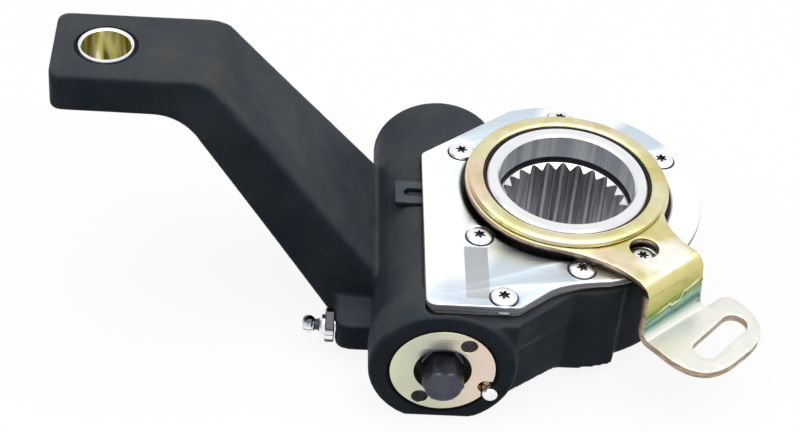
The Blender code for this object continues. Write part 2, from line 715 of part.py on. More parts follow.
def cover_plate(paint):
    """The cover, with a chamfered edge and a spotface for each screw."""
    piece = loft("cover_plate", [
        [(x, y, COVER_LOW) for x, y in cover_outline(0, COVER_ARC)],
        [(x, y, COVER_TOP - COVER_EDGE) for x, y in cover_outline(0, COVER_ARC)],
        [(x, y, COVER_TOP) for x, y in cover_outline(COVER_EDGE, COVER_ARC - COVER_EDGE)]])
    cut(piece, rod("bore", COLLAR_RADIUS + SEAT, COVER_LOW - 1, COVER_TOP + 1, steps=48))
    for x, y in screw_places():
        cut(piece, turned("hole", [
            (0, COVER_LOW - 1), (SCREW_SHANK + SEAT, COVER_LOW - 1),
            (SCREW_SHANK + SEAT, COVER_TOP - SPOTFACE_DEPTH), (SCREW_HEAD + SEAT, COVER_TOP - SPOTFACE_DEPTH),
            (SCREW_HEAD + SEAT, COVER_TOP + 1),
            (0, COVER_TOP + 1)], at=(x, y, 0), steps=16))
    return finish(piece, paint)


def cover_shim(paint):
    """The plate between housing and cover, with the slotted tab at its left edge."""
    piece = prism("cover_shim", cover_outline(COVER_EDGE, DRUM_RADIUS - SEAT), SHIM_LOW, SHIM_HIGH)
    join(piece, block("tab", TAB_LEFT, COVER_LEFT + 5, TAB_FRONT, TAB_BACK, SHIM_LOW, SHIM_HIGH))
    middle = (TAB_FRONT + TAB_BACK) / 2
    half = TAB_SLOT_WIDTH / 2
    slot = prism("slot", [(COVER_LEFT + 2, middle - half), (COVER_LEFT + 2, middle + half)] +
                 arc(half, 90, 270, 6, (TAB_SLOT_END + half, middle)), SHIM_LOW - 1, SHIM_HIGH + 1)
    cut(piece, slot, rod("bore", COLLAR_RADIUS + SEAT, SHIM_LOW - 1, SHIM_HIGH + 1, steps=40))
    for x, y in screw_places():
        cut(piece, rod("hole", SCREW_SHANK + SEAT, SHIM_LOW - 1, SHIM_HIGH + 1, at=(x, y, 0), steps=12))
    return finish(piece, paint)


def cover_screws(paint):
    """Round-headed screws with a star recess."""
    under = SCREW_UNDER
    top = under + SCREW_HEAD_THICK
    star = [polar(STAR_RADIUS * (1 if k % 2 else 0.55), 30 * k) for k in range(12)]
    for number, (x, y) in enumerate(screw_places(), 1):
        screw = turned(f"cover_screw_{number}", [
            (0, SCREW_END), (SCREW_SHANK, SCREW_END), (SCREW_SHANK, under),
            (SCREW_HEAD, under), (SCREW_HEAD, under + 0.9), (SCREW_HEAD * 0.75, top - 0.1),
            (0, top)], at=(x, y, 0), steps=16)
        cut(screw, prism("star", [(x + a, y + b) for a, b in star], top - STAR_DEPTH, top + 1))
        finish(screw, paint)


def front_end_cap(paint):
    """The threaded cap in front of the worm, with three holes for a pin spanner."""
    groove = CAP_DEPTH / 2
    piece = turned("front_end_cap", [
        (CAP_HOLE_RADIUS, FRONT_Y), (CAP_RADIUS - 0.6, FRONT_Y), (CAP_RADIUS, FRONT_Y + 0.6),
        (CAP_RADIUS, FRONT_Y + groove), (CAP_RADIUS - CAP_ORING_DEPTH, FRONT_Y + groove),
        (CAP_RADIUS - CAP_ORING_DEPTH, FRONT_Y + groove + CAP_ORING_WIDTH),
        (CAP_RADIUS, FRONT_Y + groove + CAP_ORING_WIDTH), (CAP_RADIUS, CAP_BACK),
        (CAP_HOLE_RADIUS, CAP_BACK)], "Y", WORM_AXIS, 28)
    for angle in PIN_HOLE_ANGLES:
        x, z = polar(PIN_HOLE_CIRCLE, angle, (WORM_X, WORM_HEIGHT))
        cut(piece, rod("hole", PIN_HOLE_RADIUS, FRONT_Y - 1, FRONT_Y + PIN_HOLE_DEPTH - 1, "Y",
                       (x, 0, z), 16))
    x, z = polar(RIM_NOTCH_CIRCLE, RIM_NOTCH_ANGLE, (WORM_X, WORM_HEIGHT))
    notch = rod("notch", PIN_HOLE_RADIUS, FRONT_Y - 1, FRONT_Y + LOCK_PIN_LENGTH - SEAT, "Y", (x, 0, z), 16)
    cut(piece, notch, lock_pin_room())
    return finish(piece, paint)


def cap_oring(paint):
    low = FRONT_Y + CAP_DEPTH / 2 + SEAT
    high = low + CAP_ORING_WIDTH - 2 * SEAT
    piece = turned("cap_oring", [
        (CAP_RADIUS - CAP_ORING_DEPTH + SEAT, low), (CAP_RADIUS, low), (CAP_RADIUS, high),
        (CAP_RADIUS - CAP_ORING_DEPTH + SEAT, high)], "Y", WORM_AXIS, 32)
    return finish(piece, paint)


def cap_lock_pin(paint):
    """The domed pin that keeps the cap from turning."""
    x, z = polar(LOCK_PIN_CIRCLE, LOCK_PIN_ANGLE, (WORM_X, WORM_HEIGHT))
    dome = LOCK_PIN_DOME
    piece = turned("cap_lock_pin", [
        (0, FRONT_Y - dome), (LOCK_PIN_RADIUS * 0.55, FRONT_Y - dome * 0.8),
        (LOCK_PIN_RADIUS * 0.9, FRONT_Y - dome * 0.35), (LOCK_PIN_RADIUS, FRONT_Y + 0.4),
        (LOCK_PIN_RADIUS, FRONT_Y + LOCK_PIN_LENGTH), (0, FRONT_Y + LOCK_PIN_LENGTH)], "Y", (x, 0, z), 16)
    return finish(piece, paint)


def rear_end_plug(paint):
    """The plug behind the spring, with a blind bore for the shaft and a hexagon recess."""
    piece = turned("rear_end_plug", [
        (0, PLUG_FRONT), (BARREL_BORE - SEAT, PLUG_FRONT), (BARREL_BORE - SEAT, PLUG_BACK - 0.8),
        (BARREL_BORE - SEAT - 0.8, PLUG_BACK), (0, PLUG_BACK)], "Y", WORM_AXIS, 32)
    hexagon = [polar(5.0, 60 * k, (WORM_X, WORM_HEIGHT)) for k in range(6)]
    cut(piece,
        rod("bore", SHAFT_THIN + SEAT, PLUG_FRONT - 1, SHAFT_END + SEAT, "Y", WORM_AXIS, 24),
        prism("recess", hexagon, PLUG_BACK - 3.5, PLUG_BACK + 1, "Y"))
    return finish(piece, paint)


def grease_nipple(paint):
    """The nipple: thread in the block, hexagon, neck and ball."""
    at = (0, NIPPLE_Y, NIPPLE_Z)
    foot = BLOCK_LEFT - SEAT
    tip = foot - NIPPLE_LENGTH
    waist = foot - NIPPLE_HEX_THICK
    piece = turned("grease_nipple", [
        (0, foot + NIPPLE_THREAD_LENGTH), (NIPPLE_THREAD, foot + NIPPLE_THREAD_LENGTH),
        (NIPPLE_THREAD, foot - 1), (3.2, foot - 1), (3.2, waist - 0.6),
        (1.7, waist - 2.6), (1.7, tip + 2.6), (2.6, tip + 1.6), (2.3, tip + 0.5), (0, tip)], "X", at, 16)
    hexagon = [polar(NIPPLE_HEX / math.sqrt(3), 60 * k + 30, (NIPPLE_Y, NIPPLE_Z)) for k in range(6)]
    join(piece, prism("hexagon", hexagon, waist, foot, "X"))
    return finish(piece, paint)


def ring(name, paint, inner, outer, low, high, axis="Z", at=(0, 0, 0), steps=40, origin=(0, 0, 0)):
    piece = turned(name, [(inner, low), (outer, low), (outer, high), (inner, high)], axis, at, steps)
    return finish(piece, paint, origin)


def adjusting_shaft(paint):
    """The shaft with the adjusting hexagon outside the cap."""
    hex_front = FRONT_Y - HEX_PROUD
    hex_back = FRONT_Y + 3
    corner = HEX_FLATS / math.sqrt(3)
    piece = prism("adjusting_shaft", [polar(corner, 60 * k, (WORM_X, WORM_HEIGHT)) for k in range(6)],
                  hex_front, hex_back + 1, "Y")
    cone = turned("cone", [
        (0, hex_front - 1), (corner - 1.6, hex_front - 1), (corner - 1.0, hex_front),
        (corner + 0.5, hex_front + 1.2), (corner + 0.5, hex_back + 2),
        (0, hex_back + 2)], "Y", WORM_AXIS, 24)
    combine(piece, "INTERSECT", [cone])
    join(piece, turned("journal", [
        (0, hex_back), (SHAFT_RADIUS, hex_back), (SHAFT_RADIUS, PINION_FRONT - SEAT),
        (SHAFT_THIN, PINION_FRONT - SEAT), (SHAFT_THIN, SHAFT_END), (0, SHAFT_END)], "Y", WORM_AXIS, 24))
    keyway = block("keyway", WORM_X - KEY_WIDTH / 2 - SEAT, WORM_X + KEY_WIDTH / 2 + SEAT,
                   -KEY_LENGTH / 2 - SEAT, KEY_LENGTH / 2 + SEAT,
                   WORM_HEIGHT + SHAFT_THIN - KEY_IN_SHAFT - SEAT, WORM_HEIGHT + SHAFT_THIN + 2)
    cut(piece, keyway)
    return finish(piece, paint, WORM_AXIS)


def worm_sleeve(paint):
    """The worm: a sleeve with a single right-hand thread, keyed to the shaft."""
    core = turned("worm_sleeve", [
        (0, SLEEVE_FRONT), (DRUM_HUB_RADIUS, SLEEVE_FRONT), (DRUM_HUB_RADIUS, -WORM_HALF),
        (WORM_ROOT, -WORM_HALF), (WORM_ROOT, WORM_HALF), (DRUM_HUB_RADIUS + 1, WORM_HALF),
        (DRUM_HUB_RADIUS + 1, SLEEVE_BACK), (0, SLEEVE_BACK)], "Y", WORM_AXIS, 32)
    join(core, worm_thread())
    bore = rod("bore", SHAFT_THIN + SEAT, SLEEVE_FRONT - 1, SLEEVE_BACK + 1, "Y", WORM_AXIS, 24)
    keyway = block("keyway", WORM_X - KEY_WIDTH / 2 - SEAT, WORM_X + KEY_WIDTH / 2 + SEAT,
                   -KEY_LENGTH / 2 - SEAT, KEY_LENGTH / 2 + SEAT,
                   WORM_HEIGHT, WORM_HEIGHT + SHAFT_THIN + KEY_IN_WORM + SEAT)
    cut(core, bore, keyway)
    return finish(core, paint, WORM_AXIS)


def worm_thread():
    """The thread's section carried along its helix, in step with the wheel at the near side."""
    steps = 18
    count = round(WORM_TURNS * steps)
    foot = WORM_ROOT - 0.7
    slant = math.tan(PRESSURE_ANGLE)
    middle = (LEAD / 2 - BACKLASH) / 2
    wide = middle + (WORM_PITCH - foot) * slant
    narrow = middle - (WORM_TIP - WORM_PITCH) * slant
    rings = []
    for i in range(count + 1):
        turns = WORM_TURNS * (i / count - 0.5)
        angle = TURN * turns + TURN / 4
        along = LEAD * turns
        section = ((foot, -wide), (WORM_TIP, -narrow), (WORM_TIP, narrow), (foot, wide))
        rings.append([swing("Y", WORM_AXIS, radius, angle, along + offset) for radius, offset in section])
    return loft("thread", rings)


def worm_key(paint):
    low = WORM_HEIGHT + SHAFT_THIN - KEY_IN_SHAFT
    piece = block("worm_key", WORM_X - KEY_WIDTH / 2, WORM_X + KEY_WIDTH / 2,
                  -KEY_LENGTH / 2, KEY_LENGTH / 2,
                  low, WORM_HEIGHT + SHAFT_THIN + KEY_IN_WORM)
    return finish(piece, paint, WORM_AXIS)


def worm_wheel(paint):
    """The wheel: helical teeth around a hub that is splined inside for the camshaft."""
    thickness = LEAD / 2 - BACKLASH
    tip = WHEEL_PITCH + ADDENDUM
    root = WHEEL_PITCH - DEDENDUM
    outline = gear_outline(WHEEL_TEETH, WHEEL_PITCH, tip, root, thickness,
                           math.pi + math.pi / WHEEL_TEETH, 3)
    layers = 2
    rings = []
    for i in range(layers):
        height = WHEEL_LOW + WHEEL_WIDTH * i / (layers - 1)
        twist = (height - WORM_HEIGHT) * math.tan(LEAD_ANGLE) / WHEEL_PITCH
        c, s = math.cos(twist), math.sin(twist)
        rings.append([(x * c - y * s, x * s + y * c, height) for x, y in outline])
    piece = loft("worm_wheel", rings)
    shoulder_top = FLANGE_LOW - SEAT
    join(piece, turned("hub", [
        (0, HUB_BACK), (HUB_RADIUS - HUB_EDGE, HUB_BACK), (HUB_RADIUS, HUB_BACK + HUB_EDGE),
        (HUB_RADIUS, WHEEL_HIGH - 1),
        (SHOULDER_RADIUS, WHEEL_HIGH - 1), (SHOULDER_RADIUS, shoulder_top), (HUB_RADIUS, shoulder_top),
        (HUB_RADIUS, HUB_TOP - HUB_EDGE), (HUB_RADIUS - HUB_EDGE, HUB_TOP), (0, HUB_TOP)], steps=40))
    floor = HUB_TOP - COUNTERBORE_DEPTH
    cut(piece, rod("counterbore", COUNTERBORE_RADIUS, floor, HUB_TOP + 1, steps=40),
        prism("splines", spline_outline(), HUB_BACK - 1, floor + 1))
    return finish(piece, paint)


def spline_outline():
    """The hole's outline: a trapezoid space between each pair of splines."""
    step = 360 / SPLINE_TEETH
    points = []
    for tooth in range(SPLINE_TEETH):
        for share, radius in SPLINE_FLANKS:
            points.append(polar(radius, step * (tooth + share)))
    return points


def control_disc(paint):
    """The disc that turns with the control arm: a collar through the cover, a flange below it
    with a notch for the rack, and a pocket for the hub seal."""
    pocket_low = SEAL_POCKET_LOW
    pocket_high = pocket_low + SEAL_POCKET_WIDTH
    pocket = DISC_BORE + SEAL_POCKET_DEPTH
    piece = turned("control_disc", [
        (DISC_BORE, FLANGE_LOW), (FLANGE_RADIUS, FLANGE_LOW), (FLANGE_RADIUS, FLANGE_HIGH),
        (COLLAR_RADIUS, FLANGE_HIGH), (COLLAR_RADIUS, ARM_LOW - SEAT), (SPIGOT_RADIUS, ARM_LOW - SEAT),
        (SPIGOT_RADIUS, ARM_TOP), (RING_BORE, ARM_TOP), (RING_BORE, pocket_high), (pocket, pocket_high),
        (pocket, pocket_low), (DISC_BORE, pocket_low)], steps=40)
    notch = block("notch", -NOTCH_WIDTH / 2, NOTCH_WIDTH / 2, -FLANGE_RADIUS - 3, -NOTCH_ROOT,
                  FLANGE_LOW - 1, FLANGE_HIGH)
    notch.rotation_euler.z = -math.atan2(-FINGER_X, (FLANGE_RADIUS - FINGER_TIP_Y) / 2)
    bpy.context.view_layer.update()
    return finish(cut(piece, notch), paint)


def hub_seal_front(paint):
    """The seal between hub and control disc, with a lip up to the retaining ring."""
    low = SEAL_POCKET_LOW + SEAT
    high = low + SEAL_POCKET_WIDTH - 2 * SEAT
    inner = HUB_RADIUS + SEAL_LIP / 2
    outer = DISC_BORE + SEAL_POCKET_DEPTH - SEAT
    piece = turned("hub_seal_front", [
        (inner, low), (outer, low), (outer, high),
        (inner + SEAL_LIP, high), (inner + SEAL_LIP, RING_TOP - 0.6), (inner, RING_TOP - 0.6)], steps=40)
    return finish(piece, paint)


def along_arm(u, v, z):
    """A point given along and across the control arm."""
    c, s = math.cos(ARM_DIRECTION), math.sin(ARM_DIRECTION)
    return (u * c - v * s, u * s + v * c, z)


def control_arm(paint):
    """Sheet metal: a ring and neck, a wall bent down, and a tongue bent out, in one skin."""
    half = ARM_THICK / 2
    neck_end = BEND_REACH - BEND_RADIUS
    waist = ARM_RING_RADIUS + NECK_FLARE
    right_side = math.degrees(math.asin(FLARE_RIGHT / ARM_RING_RADIUS))
    left_side = math.degrees(math.asin(FLARE_LEFT / ARM_RING_RADIUS))
    plate = arc(ARM_RING_RADIUS, right_side, 360 - left_side, 38)
    plate += curve(plate[-1], (ARM_RING_RADIUS + 1, -NECK_LEFT), (waist, -NECK_LEFT), 6)[1:]
    plate += [(neck_end, -NECK_LEFT), (neck_end, NECK_RIGHT)]
    plate += curve((waist, NECK_RIGHT), (ARM_RING_RADIUS + 3, NECK_RIGHT), plate[0], 5)[:-1]
    gap_at = plate.index((neck_end, -NECK_LEFT))
    tongue_top = ARM_TOP - WALL_DROP - ARM_THICK
    wall_u = BEND_REACH
    start_u = wall_u + BEND_RADIUS
    tongue = rounded(
        [(start_u, -TONGUE_LEFT), (TONGUE_REACH, -TONGUE_LEFT), (TONGUE_REACH - TONGUE_SLANT, TONGUE_RIGHT),
         (start_u, TONGUE_RIGHT), (start_u, WALL_RIGHT)],
        [0, TONGUE_CORNER + 1, TONGUE_CORNER, TONGUE_HEEL, 0], 6)
    vertices = []
    faces = []

    def layer(points, z):
        start = len(vertices)
        vertices.extend(along_arm(u, v, z) for u, v in points)
        return list(range(start, len(vertices)))

    def slab(points, high, gap):
        """Top, bottom and sides of a flat outline, left open after the point gap."""
        upper = layer(points, high)
        lower = layer(points, high - ARM_THICK)
        faces.append(tuple(upper))
        faces.append(tuple(reversed(lower)))
        for i in range(len(points)):
            n = (i + 1) % len(points)
            if i != gap:
                faces.append((upper[i], lower[i], lower[n], upper[n]))
        n = (gap + 1) % len(points)
        return upper[gap], upper[n], lower[n], lower[gap]

    first = slab(plate, ARM_TOP, gap_at)
    last = slab(tongue, tongue_top, len(tongue) - 1)
    last = (last[1], last[0], last[3], last[2])
    top_z = ARM_TOP - half
    low_z = tongue_top - half
    stations = []
    for k in range(1, 5):
        turn = math.radians(90 * k / 4)
        stations.append((neck_end + BEND_RADIUS * math.sin(turn),
                         top_z - BEND_RADIUS * (1 - math.cos(turn)),
                         math.sin(turn), math.cos(turn)))
    for k in range(0, 4):
        turn = math.radians(90 * k / 4)
        stations.append((wall_u + BEND_RADIUS * (1 - math.cos(turn)),
                         low_z + BEND_RADIUS * (1 - math.sin(turn)),
                         math.cos(turn), math.sin(turn)))
    previous = first
    for u, z, nu, nz in stations:
        share = (top_z - z) / (top_z - low_z)
        left = -NECK_LEFT - (TONGUE_LEFT - NECK_LEFT) * share
        right = NECK_RIGHT + (WALL_RIGHT - NECK_RIGHT) * share
        start = len(vertices)
        for v, side_sign in ((left, 1), (right, 1), (right, -1), (left, -1)):
            vertices.append(along_arm(u + nu * half * side_sign, v, z + nz * half * side_sign))
        here = (start, start + 1, start + 2, start + 3)
        for k in range(4):
            n = (k + 1) % 4
            faces.append((previous[k], previous[n], here[n], here[k]))
        previous = here
    for k in range(4):
        n = (k + 1) % 4
        faces.append((previous[k], previous[n], last[n], last[k]))
    piece = build("control_arm", vertices, faces)
    cut(piece, rod("bore", SPIGOT_RADIUS + SEAT, ARM_LOW - 1, ARM_TOP + 1, steps=40),
        rod("hole", NECK_HOLE_RADIUS, ARM_LOW - 1, ARM_TOP + 1,
            at=along_arm(NECK_HOLE_REACH, NECK_SHIFT_HOLE, 0), steps=24))
    radius = SLOT_WIDTH / 2
    reach = SLOT_LENGTH / 2 - radius
    middle = (SLOT_REACH, SLOT_SHIFT)
    slot = arc(radius, SLOT_TILT, SLOT_TILT + 180, 8, polar(reach, SLOT_TILT + 90, middle))
    slot += arc(radius, SLOT_TILT + 180, SLOT_TILT + 360, 8, polar(reach, SLOT_TILT + 270, middle))
    rings = [[along_arm(u, v, z) for u, v in slot] for z in (tongue_top - ARM_THICK - 1, tongue_top + 1)]
    cut(piece, loft("slot", rings))
    return finish(piece, paint)


def retaining_ring(paint):
    """The flat ring pressed over the spigot above the control arm."""
    edge = 0.5
    piece = turned("retaining_ring", [
        (RING_BORE, RING_LOW), (RING_RADIUS, RING_LOW), (RING_RADIUS, RING_TOP - edge),
        (RING_RADIUS - edge, RING_TOP), (RING_BORE + edge, RING_TOP),
        (RING_BORE, RING_TOP - edge)], steps=40)
    return finish(piece, paint)


def rack(paint):
    """A toothed bar over the pinion, with a finger that reaches the notch of the control disc."""
    pitch = math.pi * PINION_MODULE
    middle = (pitch / 2 - PINION_BACKLASH / 2) / 2
    slant = math.tan(PRESSURE_ANGLE)
    narrow = middle - PINION_ADDENDUM * slant
    wide = middle + PINION_DEDENDUM * slant
    outline = [(RACK_LEFT, RACK_ROOT)]
    first = math.ceil((RACK_LEFT + wide - WORM_X) / pitch)
    last = math.floor((TRAVEL_BACK + 3 * PINION_MODULE) / pitch)
    for tooth in range(first, last + 1):
        x = WORM_X + tooth * pitch
        outline += [(x - wide, RACK_ROOT), (x - narrow, RACK_LOW),
                    (x + narrow, RACK_LOW), (x + wide, RACK_ROOT)]
    riser_left = FINGER_X - FINGER_WIDTH / 2
    outline += [(RACK_RIGHT, RACK_ROOT), (RACK_RIGHT, FINGER_HIGH), (riser_left, FINGER_HIGH),
                (riser_left, RACK_TOP), (RACK_LEFT, RACK_TOP)]
    piece = prism("rack", outline, RACK_Y - RACK_WIDTH / 2, RACK_Y + RACK_WIDTH / 2, "Y")
    finger = block("finger", riser_left, RACK_RIGHT, RACK_Y, FINGER_TIP_Y, FINGER_LOW, FINGER_HIGH)
    return finish(join(piece, finger), paint)


def rack_guide(paint):
    """The bar between rack and cover that keeps the rack down on the pinion."""
    left = COVER_LEFT + 1 + SEAT
    right = FINGER_X - FINGER_WIDTH / 2 - TRAVEL_BACK - 1
    piece = block("rack_guide", left, right, RACK_Y - RACK_WIDTH / 2, RACK_Y + RACK_WIDTH / 2,
                  RACK_TOP + SEAT, HOUSING_TOP)
    return finish(piece, paint)


def pinion(paint):
    """The pinion under the rack, with the hub that the clutch spring wraps."""
    outline = gear_outline(PINION_TEETH, PINION_PITCH, PINION_PITCH + PINION_ADDENDUM,
                           PINION_PITCH - PINION_DEDENDUM,
                           math.pi * PINION_MODULE / 2 - PINION_BACKLASH / 2,
                           math.pi / 2 + math.pi / PINION_TEETH, 3)
    shifted = [(WORM_X + x, WORM_HEIGHT + z) for x, z in outline]
    piece = prism("pinion", shifted, PINION_FRONT, PINION_BACK, "Y")
    join(piece, rod("hub", DRUM_HUB_RADIUS, PINION_BACK - 1, CLUTCH_HUB_BACK, "Y", WORM_AXIS, 32))
    cut(piece, rod("bore", SHAFT_THIN + SEAT, PINION_FRONT - 1, CLUTCH_HUB_BACK + 1, "Y", WORM_AXIS, 24))
    return finish(piece, paint, WORM_AXIS)


def bearing_balls(paint):
    """The thrust bearing's balls, one solid each."""
    steps = 5
    bow = [(BALL_RADIUS * math.sin(math.pi * k / steps), -BALL_RADIUS * math.cos(math.pi * k / steps))
           for k in range(1, steps)]
    for k in range(BALLS):
        place = swing("Y", WORM_AXIS, BALL_CIRCLE, TURN * k / BALLS, BALL_Y)
        profile = [(0, -BALL_RADIUS)] + bow + [(0, BALL_RADIUS)]
        finish(turned(f"bearing_ball_{k + 1}", profile, "Y", place, 8), paint)


def make_all():
    """Every piece, with the colours that they share."""
    for old in list(bpy.data.objects):
        bpy.data.objects.remove(old)
    painted = material("black_paint", (0.05, 0.065, 0.08), 0.4, 0.0)
    cover = material("bright_cover", (0.86, 0.88, 0.9), 0.3, 0.9)
    zinc = material("yellow_zinc", (0.86, 0.8, 0.52), 0.35, 0.9)
    bright = material("bright_zinc", (0.8, 0.82, 0.84), 0.3, 1.0)
    steel = material("steel", (0.45, 0.47, 0.5), 0.35, 1.0)
    spring_steel = material("spring_steel", (0.2, 0.2, 0.22), 0.4, 1.0)
    bronze = material("bronze", (0.62, 0.5, 0.25), 0.35, 1.0)
    rubber = material("rubber", (0.03, 0.03, 0.03), 0.7, 0.0)
    housing(painted)
    clevis_bushing(bronze)
    cover_plate(cover)
    cover_shim(steel)
    cover_screws(bright)
    front_end_cap(zinc)
    cap_oring(rubber)
    cap_lock_pin(bright)
    rear_end_plug(zinc)
    grease_nipple(bright)
    ring("shaft_seal", rubber, SHAFT_RADIUS + SEAT, CAP_HOLE_RADIUS - SEAT, SHAFT_SEAL_FRONT,
         SHAFT_SEAL_FRONT + SHAFT_SEAL_LENGTH, "Y", WORM_AXIS, 28)
    ring("shaft_bush", bronze, SHAFT_RADIUS + SEAT, BARREL_BORE - SEAT,
         CAP_BACK + SEAT, PINION_FRONT - 2 * SEAT, "Y", WORM_AXIS, 28)
    ring("hub_seal_back", rubber, HUB_RADIUS + SEAT, HUB_RADIUS + RUN + SEAL_GROOVE - SEAT,
         BACK_SEAL_LOW + SEAT, BACK_SEAL_LOW + BACK_SEAL_WIDTH - SEAT)
    rack_guide(steel)
    ring("bearing_race_spring_side", steel, SHAFT_THIN + SEAT, RACE_RADIUS, RACE_B, RACE_B + RACE_THICK,
         "Y", WORM_AXIS, 32)
    bearing_balls(bright)
    ring("spring_seat", steel, SHAFT_THIN + RUN, BARREL_BORE - SEAT,
         SPRING_SEAT_Y, SPRING_SEAT_Y + SEAT_THICK, "Y", WORM_AXIS, 28)
    finish(coil("clutch_pressure_spring", SPRING_WIRE, SPRING_MEAN, SPRING_SEAT_Y + SEAT_THICK + SEAT,
                PLUG_FRONT - SEAT, SPRING_TURNS, WORM_AXIS), spring_steel)
    adjusting_shaft(steel)
    worm_sleeve(steel)
    worm_key(steel)
    ring("bearing_race_worm_side", steel, SHAFT_THIN + SEAT, RACE_RADIUS, RACE_A, RACE_A + RACE_THICK,
         "Y", WORM_AXIS, 32, WORM_AXIS)
    worm_wheel(steel)
    control_arm(zinc)
    control_disc(steel)
    retaining_ring(zinc)
    hub_seal_front(rubber)
    rack(steel)
    pinion(steel)
    finish(coil("one_way_clutch_spring", CLUTCH_WIRE, DRUM_HUB_RADIUS + SEAT + CLUTCH_WIRE,
                PINION_BACK + SEAT, SLEEVE_FRONT + CLUTCH_HUB_LENGTH - SEAT, CLUTCH_TURNS,
                WORM_AXIS, 5, 12),
           spring_steel, WORM_AXIS)


make_all()
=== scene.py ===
"""The looks of the automatic slack adjuster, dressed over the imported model.

Sizes are in millimetres in the helpers and become metres in each mesh. +Z runs along the camshaft,
the lever points to -X, and the worm lies along Y.
"""

import json
from contextlib import contextmanager
from math import asin, ceil, cos, degrees, dist, exp, hypot, pi, radians, sin, sqrt

import bmesh
import bpy
from mathutils import Matrix, Vector, geometry


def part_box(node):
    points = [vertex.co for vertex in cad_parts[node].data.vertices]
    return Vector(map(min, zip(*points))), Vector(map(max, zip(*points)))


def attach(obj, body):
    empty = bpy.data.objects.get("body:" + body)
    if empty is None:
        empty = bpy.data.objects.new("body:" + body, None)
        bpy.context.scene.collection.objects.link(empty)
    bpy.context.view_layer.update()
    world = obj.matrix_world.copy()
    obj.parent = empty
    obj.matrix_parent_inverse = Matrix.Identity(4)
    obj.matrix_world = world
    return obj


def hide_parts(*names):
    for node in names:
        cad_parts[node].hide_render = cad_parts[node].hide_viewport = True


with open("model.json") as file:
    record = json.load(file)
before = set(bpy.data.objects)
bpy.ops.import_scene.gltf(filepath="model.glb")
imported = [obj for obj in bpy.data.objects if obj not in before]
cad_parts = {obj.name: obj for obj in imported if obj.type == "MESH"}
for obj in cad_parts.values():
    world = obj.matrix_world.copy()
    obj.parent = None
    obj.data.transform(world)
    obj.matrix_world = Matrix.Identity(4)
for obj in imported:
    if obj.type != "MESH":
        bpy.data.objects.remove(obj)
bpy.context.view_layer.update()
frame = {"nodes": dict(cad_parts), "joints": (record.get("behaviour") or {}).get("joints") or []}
nodes = frame["nodes"]

MM = 0.001
TURN = 2 * pi

# The clevis eye, the worm's axis, the barrel's front face and the cap in it
EYE_X = -156.0
WORM_X = -42.0
WORM_Z = 21.0
FRONT_Y = -66.0
CAP_BACK = -57.0
CAP_RADIUS = 17.4
WORM_AXIS = (WORM_X * MM, WORM_Z * MM)

# Heights of the stack on the camshaft axis
SHIM_LOW = 40.4
SHIM_HIGH = 42.0
COVER_LOW = 42.3
COVER_TOP = 45.0
ARM_TOP = 49.0
ARM_THICK = 2.5
RING_LOW = 49.3
RING_TOP = 51.0
HUB_BACK = 0.5
HUB_TOP = 50.8

# The control arm's direction from the camshaft axis, in degrees
ARM_DIRECTION = -49.0


# Node graphs


